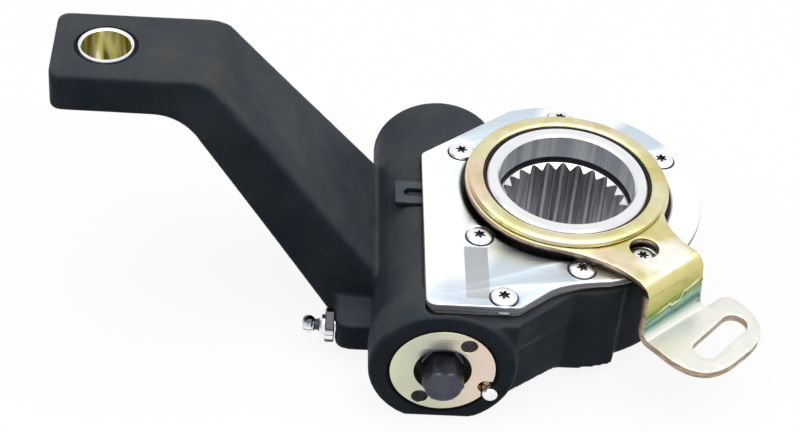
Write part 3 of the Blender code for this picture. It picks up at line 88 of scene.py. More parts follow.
class Graph:
    """A material's node tree, with short calls for the nodes used here."""

    def __init__(self, name, roughness=0.5, metallic=0.0, **sockets):
        self.material = bpy.data.materials.new(name)
        self.material.use_nodes = True
        self.tree = self.material.node_tree
        self.shader = self.tree.nodes["Principled BSDF"]
        self.feed("Roughness", roughness)
        self.feed("Metallic", metallic)
        for socket, value in sockets.items():
            self.feed(socket.replace("_", " "), value)
        self.place = self.node("TexCoord").outputs["Object"]

    def link(self, source, target):
        self.tree.links.new(source, target)

    def put(self, socket, value):
        """Sets a socket to a number, a vector or a colour, or links it to another."""
        if isinstance(value, bpy.types.NodeSocket):
            self.link(value, socket)
        elif isinstance(value, tuple) and len(socket.default_value) == 4:
            socket.default_value = (*value, 1)
        else:
            socket.default_value = value

    def feed(self, socket, value):
        self.put(self.shader.inputs[socket], value)

    def node(self, kind, **sockets):
        """A new node with its sockets filled."""
        made = self.tree.nodes.new("ShaderNode" + kind)
        for socket, value in sockets.items():
            self.put(made.inputs[socket], value)
        return made

    def noise(self, scale, detail=2.0, roughness=0.5, vector=None, distortion=0.0):
        return self.node("TexNoise", Vector=vector or self.place, Scale=scale, Detail=detail,
                         Roughness=roughness, Distortion=distortion).outputs["Fac"]

    def grain(self, scale, detail, roughness, turn=0):
        """Noise scaled by axis, turned in the XY plane."""
        node = self.node("Mapping", Vector=self.place, Scale=scale, Rotation=(0, 0, radians(turn)))
        return self.noise(1.0, detail, roughness, node.outputs["Vector"])

    def math(self, kind, a, b=0.0, clamp=False):
        node = self.node("Math")
        node.operation = kind
        node.use_clamp = clamp
        self.put(node.inputs[0], a)
        self.put(node.inputs[1], b)
        return node.outputs[0]

    def times(self, a, b, clamp=False):
        return self.math("MULTIPLY", a, b, clamp)

    def plus(self, a, b):
        return self.math("ADD", a, b)

    def minus(self, a, b):
        return self.math("SUBTRACT", a, b)

    def most(self, a, b):
        return self.math("MAXIMUM", a, b)

    def remap(self, value, low, high, to_low=0.0, to_high=1.0):
        node = self.node("MapRange", Value=value)
        node.clamp = True
        for number, limit in enumerate((low, high, to_low, to_high), 1):
            node.inputs[number].default_value = limit
        return node.outputs["Result"]

    def until(self, value, low, high):
        """1 below low, 0 above high."""
        return self.remap(value, low, high, 1, 0)

    def near(self, value, middle, inner, outer):
        """1 within inner of a middle value, 0 beyond outer."""
        return self.until(self.math("ABSOLUTE", self.minus(value, middle)), inner, outer)

    def sway(self, scale, detail, width):
        """Noise about 0, as wide as given."""
        return self.times(self.minus(self.noise(scale, detail), 0.5), width)

    def ramp(self, value, stops, smooth=True):
        node = self.node("ValToRGB", Fac=value)
        node.color_ramp.interpolation = "EASE" if smooth else "LINEAR"
        elements = node.color_ramp.elements
        while len(elements) < len(stops):
            elements.new(0.5)
        for element, (position, colour) in zip(elements, stops):
            element.position = position
            element.color = (*colour, 1)
        return node.outputs["Color"]

    def mix(self, share, a, b):
        node = self.node("Mix")
        node.data_type = "RGBA"
        for number, value in ((0, share), (6, a), (7, b)):
            self.put(node.inputs[number], value)
        return node.outputs[2]

    def axes(self):
        return self.node("SeparateXYZ", Vector=self.place).outputs

    def arm_axes(self):
        """Distances along the control arm, from the camshaft axis, and across it, in metres."""
        x, y, _ = self.axes()
        c, s = cos(radians(ARM_DIRECTION)), sin(radians(ARM_DIRECTION))
        return self.plus(self.times(x, c), self.times(y, s)), self.minus(self.times(y, c), self.times(x, s))

    def upright(self, steep, flat):
        """1 on walls, 0 on floors and tops."""
        facing = self.node("SeparateXYZ", Vector=self.geometry("Normal")).outputs
        return self.until(self.math("ABSOLUTE", facing[2]), steep, flat)

    def geometry(self, output):
        return self.node("NewGeometry").outputs[output]

    def radius(self, first, second, at=(0.0, 0.0)):
        """Distance from a line along the third axis, in metres."""
        a = self.minus(first, at[0])
        b = self.minus(second, at[1])
        return self.math("SQRT", self.plus(self.times(a, a), self.times(b, b)))

    def lines(self, value, scale, detail=2.0):
        """One-dimensional noise, for turned or drawn marks."""
        node = self.node("TexNoise", Scale=scale, Detail=detail)
        node.noise_dimensions = "1D"
        self.link(value, node.inputs["W"])
        return node.outputs["Fac"]

    def colour(self, value):
        self.feed("Base Color", value)

    def clouds(self, scale, low, high):
        """A colour that drifts between two."""
        self.colour(self.mix(self.remap(self.noise(scale, 3), 0.35, 0.65), low, high))

    def rough(self, noise, low, high):
        self.feed("Roughness", self.remap(noise, 0.3, 0.7, low, high))

    def bump(self, *layers):
        """Bump layers as (height, strength, distance in millimetres), one on another."""
        normal = None
        for height, strength, distance in layers:
            node = self.node("Bump", Strength=strength, Distance=distance * MM, Height=height)
            if normal is not None:
                self.link(normal, node.inputs["Normal"])
            normal = node.outputs["Normal"]
        self.feed("Normal", normal)


# Materials


def toned(colour, share):
    """A colour made lighter or darker by a share."""
    return tuple(c * share for c in colour)


def black_paint(name, lift=1.0):
    """Satin black paint on a forged surface, with painted shade on its walls and round the bush and the cap.
    """
    eye_rim, eye_top, mouth_rim, blur = 0.0103, 0.0960, 0.0184, 0.0004
    g = Graph(name, 0.5, Specular_IOR_Level=0.06)
    x, y, z = g.axes()
    broad = g.remap(g.noise(38, 4, 0.6), 0.35, 0.65)
    # painted light and shade: tops take a lighter tone, upright walls a darker, bluer one
    tops = g.mix(broad, toned((0.052, 0.064, 0.080), lift), toned((0.086, 0.090, 0.094), lift))
    walls = g.mix(broad, (0.024, 0.036, 0.050), (0.058, 0.072, 0.088))
    tint = g.mix(g.upright(0.35, 0.80), tops, walls)
    worn = g.times(g.remap(g.geometry("Pointiness"), 0.525, 0.60),
                   g.remap(g.noise(160, 4), 0.45, 0.65), clamp=True)
    tint = g.mix(g.times(worn, 0.35), tint, (0.15, 0.155, 0.16))
    # painted shade: near black rings in the gaps round the bush in the eye and round the front cap
    eye = g.until(g.radius(x, y, (EYE_X * MM, 0.0)), eye_rim, eye_rim + blur)
    eye_gap_shade = g.times(eye, g.remap(z, eye_top, eye_top + 0.0005))
    mouth = g.until(g.radius(x, z, WORM_AXIS), mouth_rim, mouth_rim + blur)
    mouth_gap_shade = g.times(mouth, g.until(y, (FRONT_Y + 0.5) * MM, (FRONT_Y + 1.0) * MM))
    g.colour(g.mix(g.most(eye_gap_shade, mouth_gap_shade), tint, (0.004, 0.005, 0.007)))
    g.rough(g.noise(120, 4), 0.44, 0.60)
    g.bump((g.noise(110, 3), 0.30, 0.30), (g.noise(900, 3, 0.6), 0.45, 0.07))
    return g.material


def bare_steel(name, tone, roughness, centre=(0.0, 0.0), axis="Z"):
    """Machined steel with turned marks about an axis."""
    g = Graph(name, roughness, 1.0)
    x, y, z = g.axes()
    marks = g.lines(g.radius(x, z if axis == "Y" else y, centre), 2600)
    g.colour(g.mix(g.remap(g.noise(70, 3), 0.3, 0.7), toned(tone, 0.94), tone))
    g.feed("Roughness", g.remap(marks, 0.25, 0.75, roughness * 0.75, roughness * 1.25))
    g.bump((marks, 0.18, 0.03), (g.noise(900, 2), 0.08, 0.02))
    return g.material


def bore_steel():
    """The counterbore's wall: streaks of painted highlight round it that run down its height."""
    g = Graph("counterbore_steel", 0.3, 0.25)
    x, y, z = g.axes()
    turn = g.math("ARCTAN2", y, x)
    streak = g.lines(turn, 3.6, 2)
    fine = g.lines(turn, 60.0, 2)
    # painted highlights: light streaks at angles round the wall
    g.colour(g.mix(g.remap(streak, 0.40, 0.62), (0.60, 0.66, 0.72), (0.98, 0.98, 0.98)))
    g.rough(fine, 0.22, 0.42)
    g.bump((g.lines(z, 2400), 0.15, 0.02))
    return g.material


def sheared_edge():
    """The cut edge of the pressed sheet: brownish, and nearly black low on the ring and the neck as painted
    shade.
    """
    g = Graph("sheared_zinc_edge", 0.4, 1.0)
    z = g.axes()[2]
    run = g.grain((260, 260, 1400), 3, 0.6)
    tint = g.mix(g.remap(run, 0.35, 0.65), (0.26, 0.17, 0.14), (0.55, 0.45, 0.30))
    # painted shade: the lower part of the edge on the ring and the neck is nearly black
    low = g.times(g.until(z, 0.0472, 0.0480), g.remap(z, 0.0440, 0.0450))
    g.colour(g.mix(low, tint, (0.030, 0.024, 0.022)))
    g.bump((run, 0.25, 0.04))
    return g.material


def cover_metal():
    """The ground cover: near white, with pale blue fans of painted sheen, a bare etched patch and a dull
    edge.
    """
    patch_x, patch_y, patch_half_x, patch_half_y = -0.0322, -0.0437, 0.0038, 0.0124
    ring_shade, rim, gap_shade_z, edge_middle = 0.0362, 0.0385, 0.0422, 0.0429
    g = Graph("bright_cover_skin", 0.3, 1.0)
    x, y, z = g.axes()
    brush = g.grain((90, 2400, 90), 4, 0.6, 12)
    # painted sheen: pale blue fans at set angles about the hub, standing in for the ground metal's
    # reflections
    turn = g.plus(g.math("ARCTAN2", y, x), g.sway(30, 3, 0.5))
    painted_sheen_fans = 0.0
    for middle, half in ((122, 24), (50, 15), (-105, 22)):
        painted_sheen_fans = g.most(painted_sheen_fans, g.near(turn, radians(middle), radians(half) * 0.8, radians(half) * 1.15))
    tint = g.mix(painted_sheen_fans, (0.93, 0.955, 0.97), (0.60, 0.685, 0.76))
    patch = g.times(g.near(x, patch_x, patch_half_x, patch_half_x + 0.0002),
                    g.near(y, patch_y, patch_half_y, patch_half_y + 0.0002))
    tint = g.mix(patch, tint, (0.47, 0.49, 0.51))
    reach = g.radius(x, y)
    # painted shadow: a near black band on the cover round the control arm's ring
    tint = g.mix(g.until(reach, ring_shade, ring_shade + MM), tint, (0.030, 0.030, 0.034))
    # painted highlight and shade on the sides of the cover and the shim: near white low, grey above
    wall = g.times(g.upright(0.3, 0.7), g.remap(reach, rim, rim + MM))
    upper = g.remap(z, edge_middle, edge_middle + 0.0005)
    tint = g.mix(wall, tint, g.mix(upper, (0.95, 0.96, 0.98), (0.46, 0.46, 0.53)))
    g.feed("Metallic", g.minus(1.0, wall))
    # painted shadow: a dark line where the cover's foot meets the shim
    gap_shade = g.near(z, gap_shade_z, 0.00022, 0.00045)
    g.colour(g.mix(g.times(gap_shade, 0.8), tint, (0.13, 0.15, 0.19)))
    g.rough(brush, 0.24, 0.38)
    g.bump((brush, 0.12, 0.02), (g.noise(26, 1), 0.10, 0.15))
    return g.material


def yellow_zinc(name, wall=False):
    """Yellow passivated zinc: straw, olive and pink clouds. The control arm adds its bent wall."""
    g = Graph(name, 0.28, 1.0)
    cloud = g.noise(30, 3, 0.5, distortion=0.6)
    tint = g.ramp(cloud, [
        (0.28, (0.52, 0.49, 0.21)), (0.42, (0.64, 0.58, 0.28)), (0.52, (0.72, 0.67, 0.43)),
        (0.62, (0.76, 0.61, 0.45)), (0.72, (0.58, 0.55, 0.26))])
    rough = g.remap(g.noise(220, 3), 0.3, 0.7, 0.20, 0.36)
    if wall:
        tongue_top = 0.0262
        tint = wall_zinc(g, tint)
        z = g.axes()[2]
        rough = g.plus(rough, g.remap(z, tongue_top, 0.0280, 0.08, 0.0))
        g.feed("Metallic", g.remap(z, tongue_top, tongue_top + MM, 0.35, 1.0))
    g.colour(tint)
    g.feed("Roughness", rough)
    rolled = g.grain((300, 1500, 300), 3, 0.6, 41)
    g.bump((rolled, 0.10, 0.02), (g.noise(60, 2), 0.12, 0.12))
    return g.material


def wall_zinc(g, tint):
    """The plating down the bent wall: straw above, green and teal low, and a near white tongue."""
    side_front, side_back = -0.0165, 0.0125
    foot, sheet_low, crease_z = 0.0225, 0.0478, 0.0335
    hole_along, hole_across = 0.0465, -0.0010
    z = g.axes()[2]
    along, across = g.arm_axes()
    run = g.remap(across, side_front, side_back)
    lean = g.minus(g.sway(55, 2, 0.006), g.times(run, 0.0022))
    drift = g.plus(z, g.times(lean, g.remap(z, 0.0264, 0.0330)))
    # the near white low stops are a painted highlight on the lower bend, running on over the tongue; the near
    # black stop just above the bend is painted shade
    band = g.ramp(g.remap(drift, foot, 0.0500), [
        (0.00, (0.94, 0.92, 0.83)), (0.15, (0.94, 0.93, 0.87)), (0.20, (0.45, 0.66, 0.60)),
        (0.26, (0.06, 0.13, 0.11)), (0.33, (0.25, 0.50, 0.42)), (0.44, (0.20, 0.34, 0.08)),
        (0.56, (0.46, 0.46, 0.12)), (0.80, (0.68, 0.61, 0.24)), (0.92, (0.76, 0.70, 0.34)),
        (1.00, (0.80, 0.75, 0.45))], smooth=False)
    on_top = g.remap(z, sheet_low, sheet_low + MM)
    tint = g.mix(on_top, band, tint)
    # the neck is worn paler beside its hole
    away = g.plus(g.math("POWER", g.times(g.minus(along, hole_along), 190), 2),
                  g.math("POWER", g.times(g.minus(across, hole_across), 115), 2))
    worn = g.remap(g.plus(away, g.sway(180, 3, 1.2)), 0.7, 2.0, 0.9, 0.0)
    tint = g.mix(g.times(worn, on_top), tint, (0.95, 0.93, 0.86))
    # the pressed crease: a painted highlight line that steps across the wall, with painted shade below it
    step = g.times(g.remap(run, 0.40, 0.46), g.until(run, 0.58, 0.64))
    line = g.minus(g.plus(crease_z, g.times(run, 0.0070)), g.times(step, 0.0022))
    off = g.minus(z, line)
    ends = g.times(g.remap(run, 0.16, 0.26), g.until(run, 0.84, 0.92))
    bright = g.times(g.near(off, 0.0, 0.0002, 0.0009), ends)
    shade = g.near(off, -0.0011, 0.0003, 0.0008)
    tint = g.mix(g.times(shade, 0.75), tint, (0.10, 0.13, 0.04))
    return g.mix(g.times(bright, 0.9), tint, (0.92, 0.88, 0.50))


def plated_cap():
    """The cap's plating: pale straw with a green cast on one side and a pink one on the other."""
    half = 18.0
    g = Graph("cap_plating", 0.3, 1.0)
    x, _, z = g.axes()
    drift = g.plus(x, g.sway(60, 3, 0.02))
    g.colour(g.ramp(g.remap(drift, (WORM_X - half) * MM, (WORM_X + half) * MM), [
        (0.0, (0.66, 0.70, 0.50)), (0.35, (0.56, 0.56, 0.45)), (0.6, (0.66, 0.62, 0.48)),
        (0.85, (0.78, 0.63, 0.53)), (1.0, (0.70, 0.66, 0.58))]))
    marks = g.lines(g.radius(x, z, WORM_AXIS), 1800)
    g.rough(marks, 0.22, 0.38)
    g.bump((marks, 0.15, 0.03), (g.noise(140, 3), 0.10, 0.08))
    return g.material


def bright_zinc():
    """Clear passivated zinc on the screws, the lock pin and the nipple's foot."""
    g = Graph("bright_zinc_skin", 0.2, 1.0)
    g.clouds(260, (0.82, 0.84, 0.87), (0.93, 0.94, 0.95))
    g.rough(g.noise(600, 2), 0.15, 0.28)
    g.bump((g.noise(500, 2), 0.12, 0.04))
    return g.material


def chrome():
    """Bright plating on the nipple's turned ball, with painted reflection: dark bands where its sides turn
    away.
    """
    low, high = 0.0070, 0.0132
    g = Graph("nipple_plating", 0.12, 1.0)
    height = g.remap(g.axes()[2], low, high)
    # painted reflection: dark and bright bands up the ball
    g.colour(g.ramp(height, [
        (0.0, (0.03, 0.03, 0.04)), (0.16, (0.12, 0.12, 0.14)), (0.26, (0.85, 0.86, 0.88)),
        (0.42, (0.95, 0.95, 0.96)), (0.52, (0.30, 0.31, 0.34)), (0.60, (0.90, 0.91, 0.92)),
        (0.80, (0.55, 0.56, 0.60)), (0.90, (0.06, 0.06, 0.07))]))
    g.bump((g.noise(600, 2), 0.08, 0.03))
    return g.material


def dark_steel_and_shade():
    """Oiled steel in the shade of the bore: the hexagon and the parts inside. Also painted shade in recesses.
    """
    g = Graph("dark_steel_and_shade_skin", 0.4, 0.85)
    g.clouds(180, (0.055, 0.060, 0.085), (0.085, 0.090, 0.115))
    g.rough(g.noise(500, 3), 0.34, 0.5)
    g.bump((g.grain((1800, 200, 1800), 2, 0.5), 0.15, 0.03))
    return g.material


def spline_steel():
    """Broached steel: streaks along the splines, darker than the turned ring above."""
    g = Graph("spline_steel_skin", 0.42, 1.0)
    streak = g.grain((700, 700, 40), 3, 0.6)
    g.colour(g.mix(g.remap(streak, 0.35, 0.65), (0.20, 0.21, 0.23), (0.46, 0.47, 0.49)))
    g.rough(streak, 0.34, 0.5)
    g.bump((streak, 0.2, 0.03))
    return g.material


def olive_bore():
    """The bush's sliding bore: a dull gold lining."""
    g = Graph("bush_lining", 0.35, 1.0)
    streak = g.grain((230, 230, 30), 2, 0.5)
    g.colour(g.ramp(streak, [
        (0.38, (0.10, 0.085, 0.02)), (0.48, (0.38, 0.34, 0.09)),
        (0.56, (0.60, 0.55, 0.22)), (0.64, (0.90, 0.88, 0.62))]))
    g.bump((streak, 0.15, 0.03))
    return g.material


def bronze():
    """Bronze of the wheel's teeth and the shaft's bush."""
    g = Graph("bronze_skin", 0.35, 1.0)
    g.clouds(200, (0.46, 0.29, 0.13), (0.62, 0.42, 0.20))
    g.bump((g.noise(700, 2), 0.12, 0.03))
    return g.material


def rubber():
    """Black rubber of the seals and the O-ring."""
    g = Graph("rubber_skin", 0.6, Specular_IOR_Level=0.3)
    g.colour(g.mix(g.noise(400, 3), (0.008, 0.008, 0.009), (0.018, 0.018, 0.020)))
    g.bump((g.noise(1500, 2), 0.2, 0.03))
    return g.material


PAINT = black_paint("black_paint_skin")
TAB_PAINT = black_paint("tab_paint_skin", 1.7)
COVER = cover_metal()
ZINC_RING = yellow_zinc("yellow_zinc_ring")
ZINC_ARM = yellow_zinc("yellow_zinc_arm", wall=True)
CAP = plated_cap()
BRIGHT = bright_zinc()
HUB = bare_steel("hub_turned_steel", (0.86, 0.87, 0.89), 0.22)
EDGE = sheared_edge()
BORE = bore_steel()
STEEL = bare_steel("inner_steel", (0.55, 0.56, 0.58), 0.3, WORM_AXIS, "Y")
SPLINE = spline_steel()
CHROME = chrome()
DARK_STEEL_AND_SHADE = dark_steel_and_shade()
GOLD = olive_bore()
BRONZE = bronze()
RUBBER = rubber()


# Shapes


def clamped(value):
    return min(1.0, max(0.0, value))


def polar(radius, bearing, centre=(0.0, 0.0)):
    angle = radians(bearing)
    return (centre[0] + radius * cos(angle), centre[1] + radius * sin(angle))


def arc(radius, start, end, steps, centre=(0.0, 0.0)):
    return [polar(radius, start + (end - start) * i / steps, centre) for i in range(steps + 1)]


def circle(radius, steps, centre=(0.0, 0.0)):
    return [polar(radius, 360 * i / steps, centre) for i in range(steps)]


def curve(start, corner, end, steps):
    """A curve that leaves its start and reaches its end along the lines to a corner."""
    points = []
    for i in range(steps + 1):
        t = i / steps
        points.append(tuple((1 - t) ** 2 * a + 2 * t * (1 - t) * b + t * t * c
                            for a, b, c in zip(start, corner, end)))
    return points


def rounded(corners, radii, steps):
    """An outline whose corners are rounded, each by its own length; 0 keeps one sharp."""
    points = []
    for i, corner in enumerate(corners):
        if radii[i] == 0:
            points.append(corner)
            continue
        here = Vector(corner)
        back = (Vector(corners[i - 1]) - here).normalized() * radii[i]
        ahead = (Vector(corners[(i + 1) % len(corners)]) - here).normalized() * radii[i]
        points += curve(tuple(here + back), corner, tuple(here + ahead), steps)
    return points


def spaced(points, gap):
    """The same outline with points no further apart than a gap."""
    made = []
    for a, b in zip(points, points[1:] + points[:1]):
        parts = max(1, ceil(dist(a, b) / gap))
        made += [(a[0] + (b[0] - a[0]) * i / parts, a[1] + (b[1] - a[1]) * i / parts) for i in range(parts)]
    return made


def thinned(points, gap):
    """The same outline without the points that lie closer than a gap to the one before."""
    kept = [points[0]]
    for point in points[1:]:
        if dist(point, kept[-1]) > gap:
            kept.append(point)
    return kept


def inside(point, outline):
    """Whether a point lies within a closed outline."""
    x, y = point
    odd = False
    for (ax, ay), (bx, by) in zip(outline, outline[1:] + outline[:1]):
        if (ay > y) != (by > y) and x < (bx - ax) * (y - ay) / (by - ay) + ax:
            odd = not odd
    return odd


def within(point, rim, holes):
    """Whether a point lies on a flat sheet with holes."""
    return inside(point, rim) and not any(inside(point, hole) for hole in holes)


def about(axis, radius, turn, height, at=(0, 0, 0)):
    """The point at a radius, a turn and a height about an axis through a place."""
    a, b = radius * cos(turn), radius * sin(turn)
    point = {"Z": (a, b, height), "Y": (a, height, b), "X": (height, a, b)}[axis]
    return tuple(p + c for p, c in zip(point, at))


def bands(rows, count):
    """Faces that join rings of points, one after another."""
    faces = []
    for start in range(0, (rows - 1) * count, count):
        for i in range(count):
            n = (i + 1) % count
            faces.append((start + i, start + n, start + count + n, start + count + i))
    return faces


def shown(name, data):
    """A new object in the scene."""
    thing = bpy.data.objects.new(name, data)
    bpy.context.scene.collection.objects.link(thing)
    return thing


@contextmanager
def edited(mesh):
    """A mesh opened for its vertices and faces to be edited."""
    edit = bmesh.new()
    edit.from_mesh(mesh)
    yield edit
    edit.to_mesh(mesh)
    edit.free()


def weld(mesh, distance):
    with edited(mesh) as edit:
        bmesh.ops.remove_doubles(edit, verts=edit.verts, dist=distance)
        bmesh.ops.recalc_face_normals(edit, faces=edit.faces)


def soften(mesh, angle):
    """Smooth shading with sharp edges kept above an angle in degrees."""
    mesh.polygons.foreach_set("use_smooth", [True] * len(mesh.polygons))
    mesh.set_sharp_from_angle(angle=radians(angle))


def add(name, vertices, faces, materials, marks=None, smooth=40):
    """A mesh object from millimetre points; marks gives each face its material."""
    mesh = bpy.data.meshes.new(name)
    mesh.from_pydata([tuple(c * MM for c in v) for v in vertices], [], faces)
    for paint in materials:
        mesh.materials.append(paint)
    if marks:
        mesh.polygons.foreach_set("material_index", marks)
    weld(mesh, 1e-7)
    soften(mesh, smooth)
    return shown(name, mesh)


def spun(name, profile, materials, marks=None, axis="Z", at=(0, 0, 0), steps=128, smooth=40):
    """A closed profile of (radius, height) turned about an axis; marks gives each side its material."""
    count = len(profile)
    vertices = [about(axis, radius, TURN * i / steps, height, at)
                for i in range(steps) for radius, height in profile]
    faces = []
    paints = []
    for i in range(steps):
        n = (i + 1) % steps
        for k in range(count):
            m = (k + 1) % count
            if profile[k][0] == 0 and profile[m][0] == 0:
                continue
            faces.append((i * count + k, n * count + k, n * count + m, i * count + m))
            paints.append(marks[k] if marks else 0)
    return add(name, vertices, faces, materials, paints, smooth)


def plate(name, outlines, low, high, edge, paint, axis="Z", steps=3):
    """A flat plate with holes and a soft edge: the first outline is the rim, the others are holes."""
    data = bpy.data.curves.new(name, "CURVE")
    data.dimensions = "2D"
    data.fill_mode = "BOTH"
    data.extrude = (high - low) / 2 * MM - edge * MM
    data.bevel_depth = edge * MM
    data.bevel_resolution = steps
    data.offset = -edge * MM
    for outline in outlines:
        spline = data.splines.new("POLY")
        spline.points.add(len(outline) - 1)
        for point, (a, b) in zip(spline.points, outline):
            point.co = (a * MM, b * MM, 0, 1)
        spline.use_cyclic_u = True
    holder = shown(name, data)
    bpy.context.view_layer.update()
    mesh = evaluated(holder)
    bpy.data.objects.remove(holder)
    mesh.transform(Matrix.Translation((0, 0, (low + high) / 2 * MM)))
    if axis == "Y":
        # the drawing plane (a, b) becomes (x, z), and the height becomes y
        mesh.transform(Matrix(((1, 0, 0, 0), (0, 0, 1, 0), (0, 1, 0, 0), (0, 0, 0, 1))))
    weld(mesh, 1e-6)
    mesh.materials.clear()
    mesh.materials.append(paint)
    soften(mesh, 40)
    return shown(name, mesh)


def evaluated(thing):
    """A new mesh of an object as its modifiers leave it."""
    return bpy.data.meshes.new_from_object(thing.evaluated_get(bpy.context.evaluated_depsgraph_get()))


def baked(piece):
    """Applies a piece's modifiers."""
    mesh = evaluated(piece)
    piece.modifiers.clear()
    piece.data = mesh


def join(target, *others):
    """Adds other meshes to the target's mesh, materials included."""
    with edited(target.data) as edit:
        for other in others:
            offset = len(target.data.materials)
            for paint in other.data.materials:
                target.data.materials.append(paint)
            for polygon in other.data.polygons:
                polygon.material_index += offset
            edit.from_mesh(other.data)
            bpy.data.objects.remove(other)


def place(piece, body, node):
    """Puts a finished piece on its body in place of the CAD node."""
    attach(piece, body)
    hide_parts(node)


# The body


def lever_ease(x, y, z):
    """A new Y for a point of the CAD lever: fuller end corners and a wider back edge."""
    end, half_width = -173.2, 17.3
    cad_corner, corner = 9.0, 3.5
    root_x, lowest, widest, barrel = -47, 18, 31, 18.6
    spread_start, spread_run = -125.0, 60.0
    edge_start, edge_run = 4.0, 8.0

    def cut(radius):
        """How far a corner of that radius draws the side in."""
        return radius * (1 - sqrt(max(0.0, 1 - (1 - clamped((x - end) / radius)) ** 2)))

    beyond = x > root_x or z < lowest or abs(y) > widest
    if beyond or dist((x, z), (WORM_X, WORM_Z)) < barrel:
        return y
    y *= (half_width - cut(corner)) / (half_width - cut(cad_corner))
    t = clamped((x - spread_start) / spread_run)
    spread = 1.0 + 1.7 * t * t * (3 - 2 * t)
    return y + spread * clamped((y - edge_start) / edge_run)


def clear_rack_room(piece):
    """Cuts the room that the rack, its riser and its finger sweep out of the softened body."""
    rack_width, rack_height = 6.4, 6.0
    finger_width, finger_thick = 3.5, 1.9
    spare = 0.15
    back, ahead = next(j["range_m"] for j in frame["joints"] if j["name"] == "rack_slide")
    low, high = (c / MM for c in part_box("rack"))
    left, right = low.x + back / MM - spare, high.x + ahead / MM + spare
    riser = high.x - finger_width + back / MM - spare
    front, inner, tip = low.y - spare, low.y + rack_width + spare, high.y + spare
    floor, top = low.z - spare, high.z + spare
    rooms = [((left, front, floor), (right, inner, low.z + rack_height + spare)),
             ((riser, front, floor), (right, inner, top)),
             ((riser, front, high.z - finger_thick - spare), (right, tip, top))]
    for (x0, y0, z0), (x1, y1, z1) in rooms:
        corners = [(x, y, z) for x in (x0, x1) for y in (y0, y1) for z in (z0, z1)]
        sides = [(0, 1, 3, 2), (4, 6, 7, 5), (0, 4, 5, 1), (2, 3, 7, 6), (0, 2, 6, 4), (1, 5, 7, 3)]
        room = add("rack_sweep", corners, sides, [])
        cut = piece.modifiers.new("room", "BOOLEAN")
        cut.operation = "DIFFERENCE"
        cut.solver = "EXACT"
        cut.object = room
        baked(piece)
        bpy.data.objects.remove(room)


def housing_skin():
    """The forged body: the CAD solid with its edges drawn soft, as a forging's are."""
    eye_room = 10.5
    piece = shown("body_skin", nodes["housing"].data.copy())
    for vertex in piece.data.vertices:
        x, y, z = (c / MM for c in vertex.co)
        if dist((x, y), (EYE_X, 0.0)) > eye_room:
            vertex.co.y = lever_ease(x, y, z) * MM
    remesh = piece.modifiers.new("remesh", "REMESH")
    remesh.mode = "VOXEL"
    remesh.voxel_size = 0.9 * MM
    soft = piece.modifiers.new("soft", "SMOOTH")
    soft.factor = 0.5
    soft.iterations = 3
    baked(piece)
    clear_rack_room(piece)
    piece.data.materials.clear()
    piece.data.materials.append(PAINT)
    piece.data.polygons.foreach_set("use_smooth", [True] * len(piece.data.polygons))
    place(piece, "housing_body", "housing")


def clevis_bush():
    """The bush in the lever's eye: a bright rim round a gold bore."""
    low, high = 81.6, 97.4
    bore, outer, land = 8.0, 9.35, 9.0
    profile = [(bore, low + 0.4), (8.4, low), (land, low), (outer, low + 0.4), (outer, high - 0.5),
               (land, high), (8.5, high), (bore, high - 0.5)]
    piece = spun("eye_bush", profile, [BRIGHT, GOLD], [0] * 7 + [1], at=(EYE_X, 0, 0), steps=96)
    place(piece, "housing_body", "clevis_bushing")


# The cover, the shim under it and their screws

COVER_RADIUS = 46.6
SHIM_RADIUS = 44.1
HUB_ROOM = 32.0
SCREW_HOLE = 2.6
SPOTFACE = 4.75
SCREW_PLACES = [polar(40.0, a) for a in (152, 89, 29, -54, -86, -140)] + [(-23.8, -55.1)]
SCREW_TURNS = (0.2, 0.8, 0.5, 0.1, 0.9, 0.4, 0.7)


def cover_outline(inset, radius):
    """The cover's rim: an arc round the hub, two straight sides and an S where the front meets the arc."""
    left = -49.3 + inset
    front = -59.9 + inset
    corner, ease = 3.8, 1.5
    first, last = -76, 112
    turn = (-18.6 - inset / 2, front)
    bend = (-9.0, -51.4 + inset)
    along = (Vector(bend) - Vector(turn)).normalized() * ease
    points = arc(radius, first, last, 110)
    points += rounded([points[-1], (left, 17.0 - inset / 2), (left, front + corner)], [0, 1.2, 0], 6)[1:-1]
    points += arc(corner, 180, 270, 12, (left + corner, front + corner))
    points += curve((turn[0] - ease, front), turn, (turn[0] + along.x, turn[1] + along.y), 4)
    points += curve(bend, (-3.4, -46.6 + inset), polar(radius, first), 14)[:-1]
    return points


def cover_plate():
    """The cover, with painted shade on the wall and floor of each spotface."""
    floor = 44.1
    holes = [circle(SPOTFACE, 40, at) for at in SCREW_PLACES]
    cover = plate("cover_plate_skin", [cover_outline(0, COVER_RADIUS), circle(HUB_ROOM, 144)] + holes,
                  COVER_LOW, COVER_TOP, 0.55, COVER, steps=2)
    profile = [(SCREW_HOLE, COVER_LOW), (SPOTFACE, COVER_LOW), (SPOTFACE, floor), (SCREW_HOLE, floor)]
    # painted shade: each spotface's wall and floor take the dark material
    join(cover, *[spun(f"spotface_{i}", profile, [DARK_STEEL_AND_SHADE], at=(x, y, 0), steps=40)
                  for i, (x, y) in enumerate(SCREW_PLACES)])
    soften(cover.data, 50)
    place(cover, "housing_body", "cover_plate")


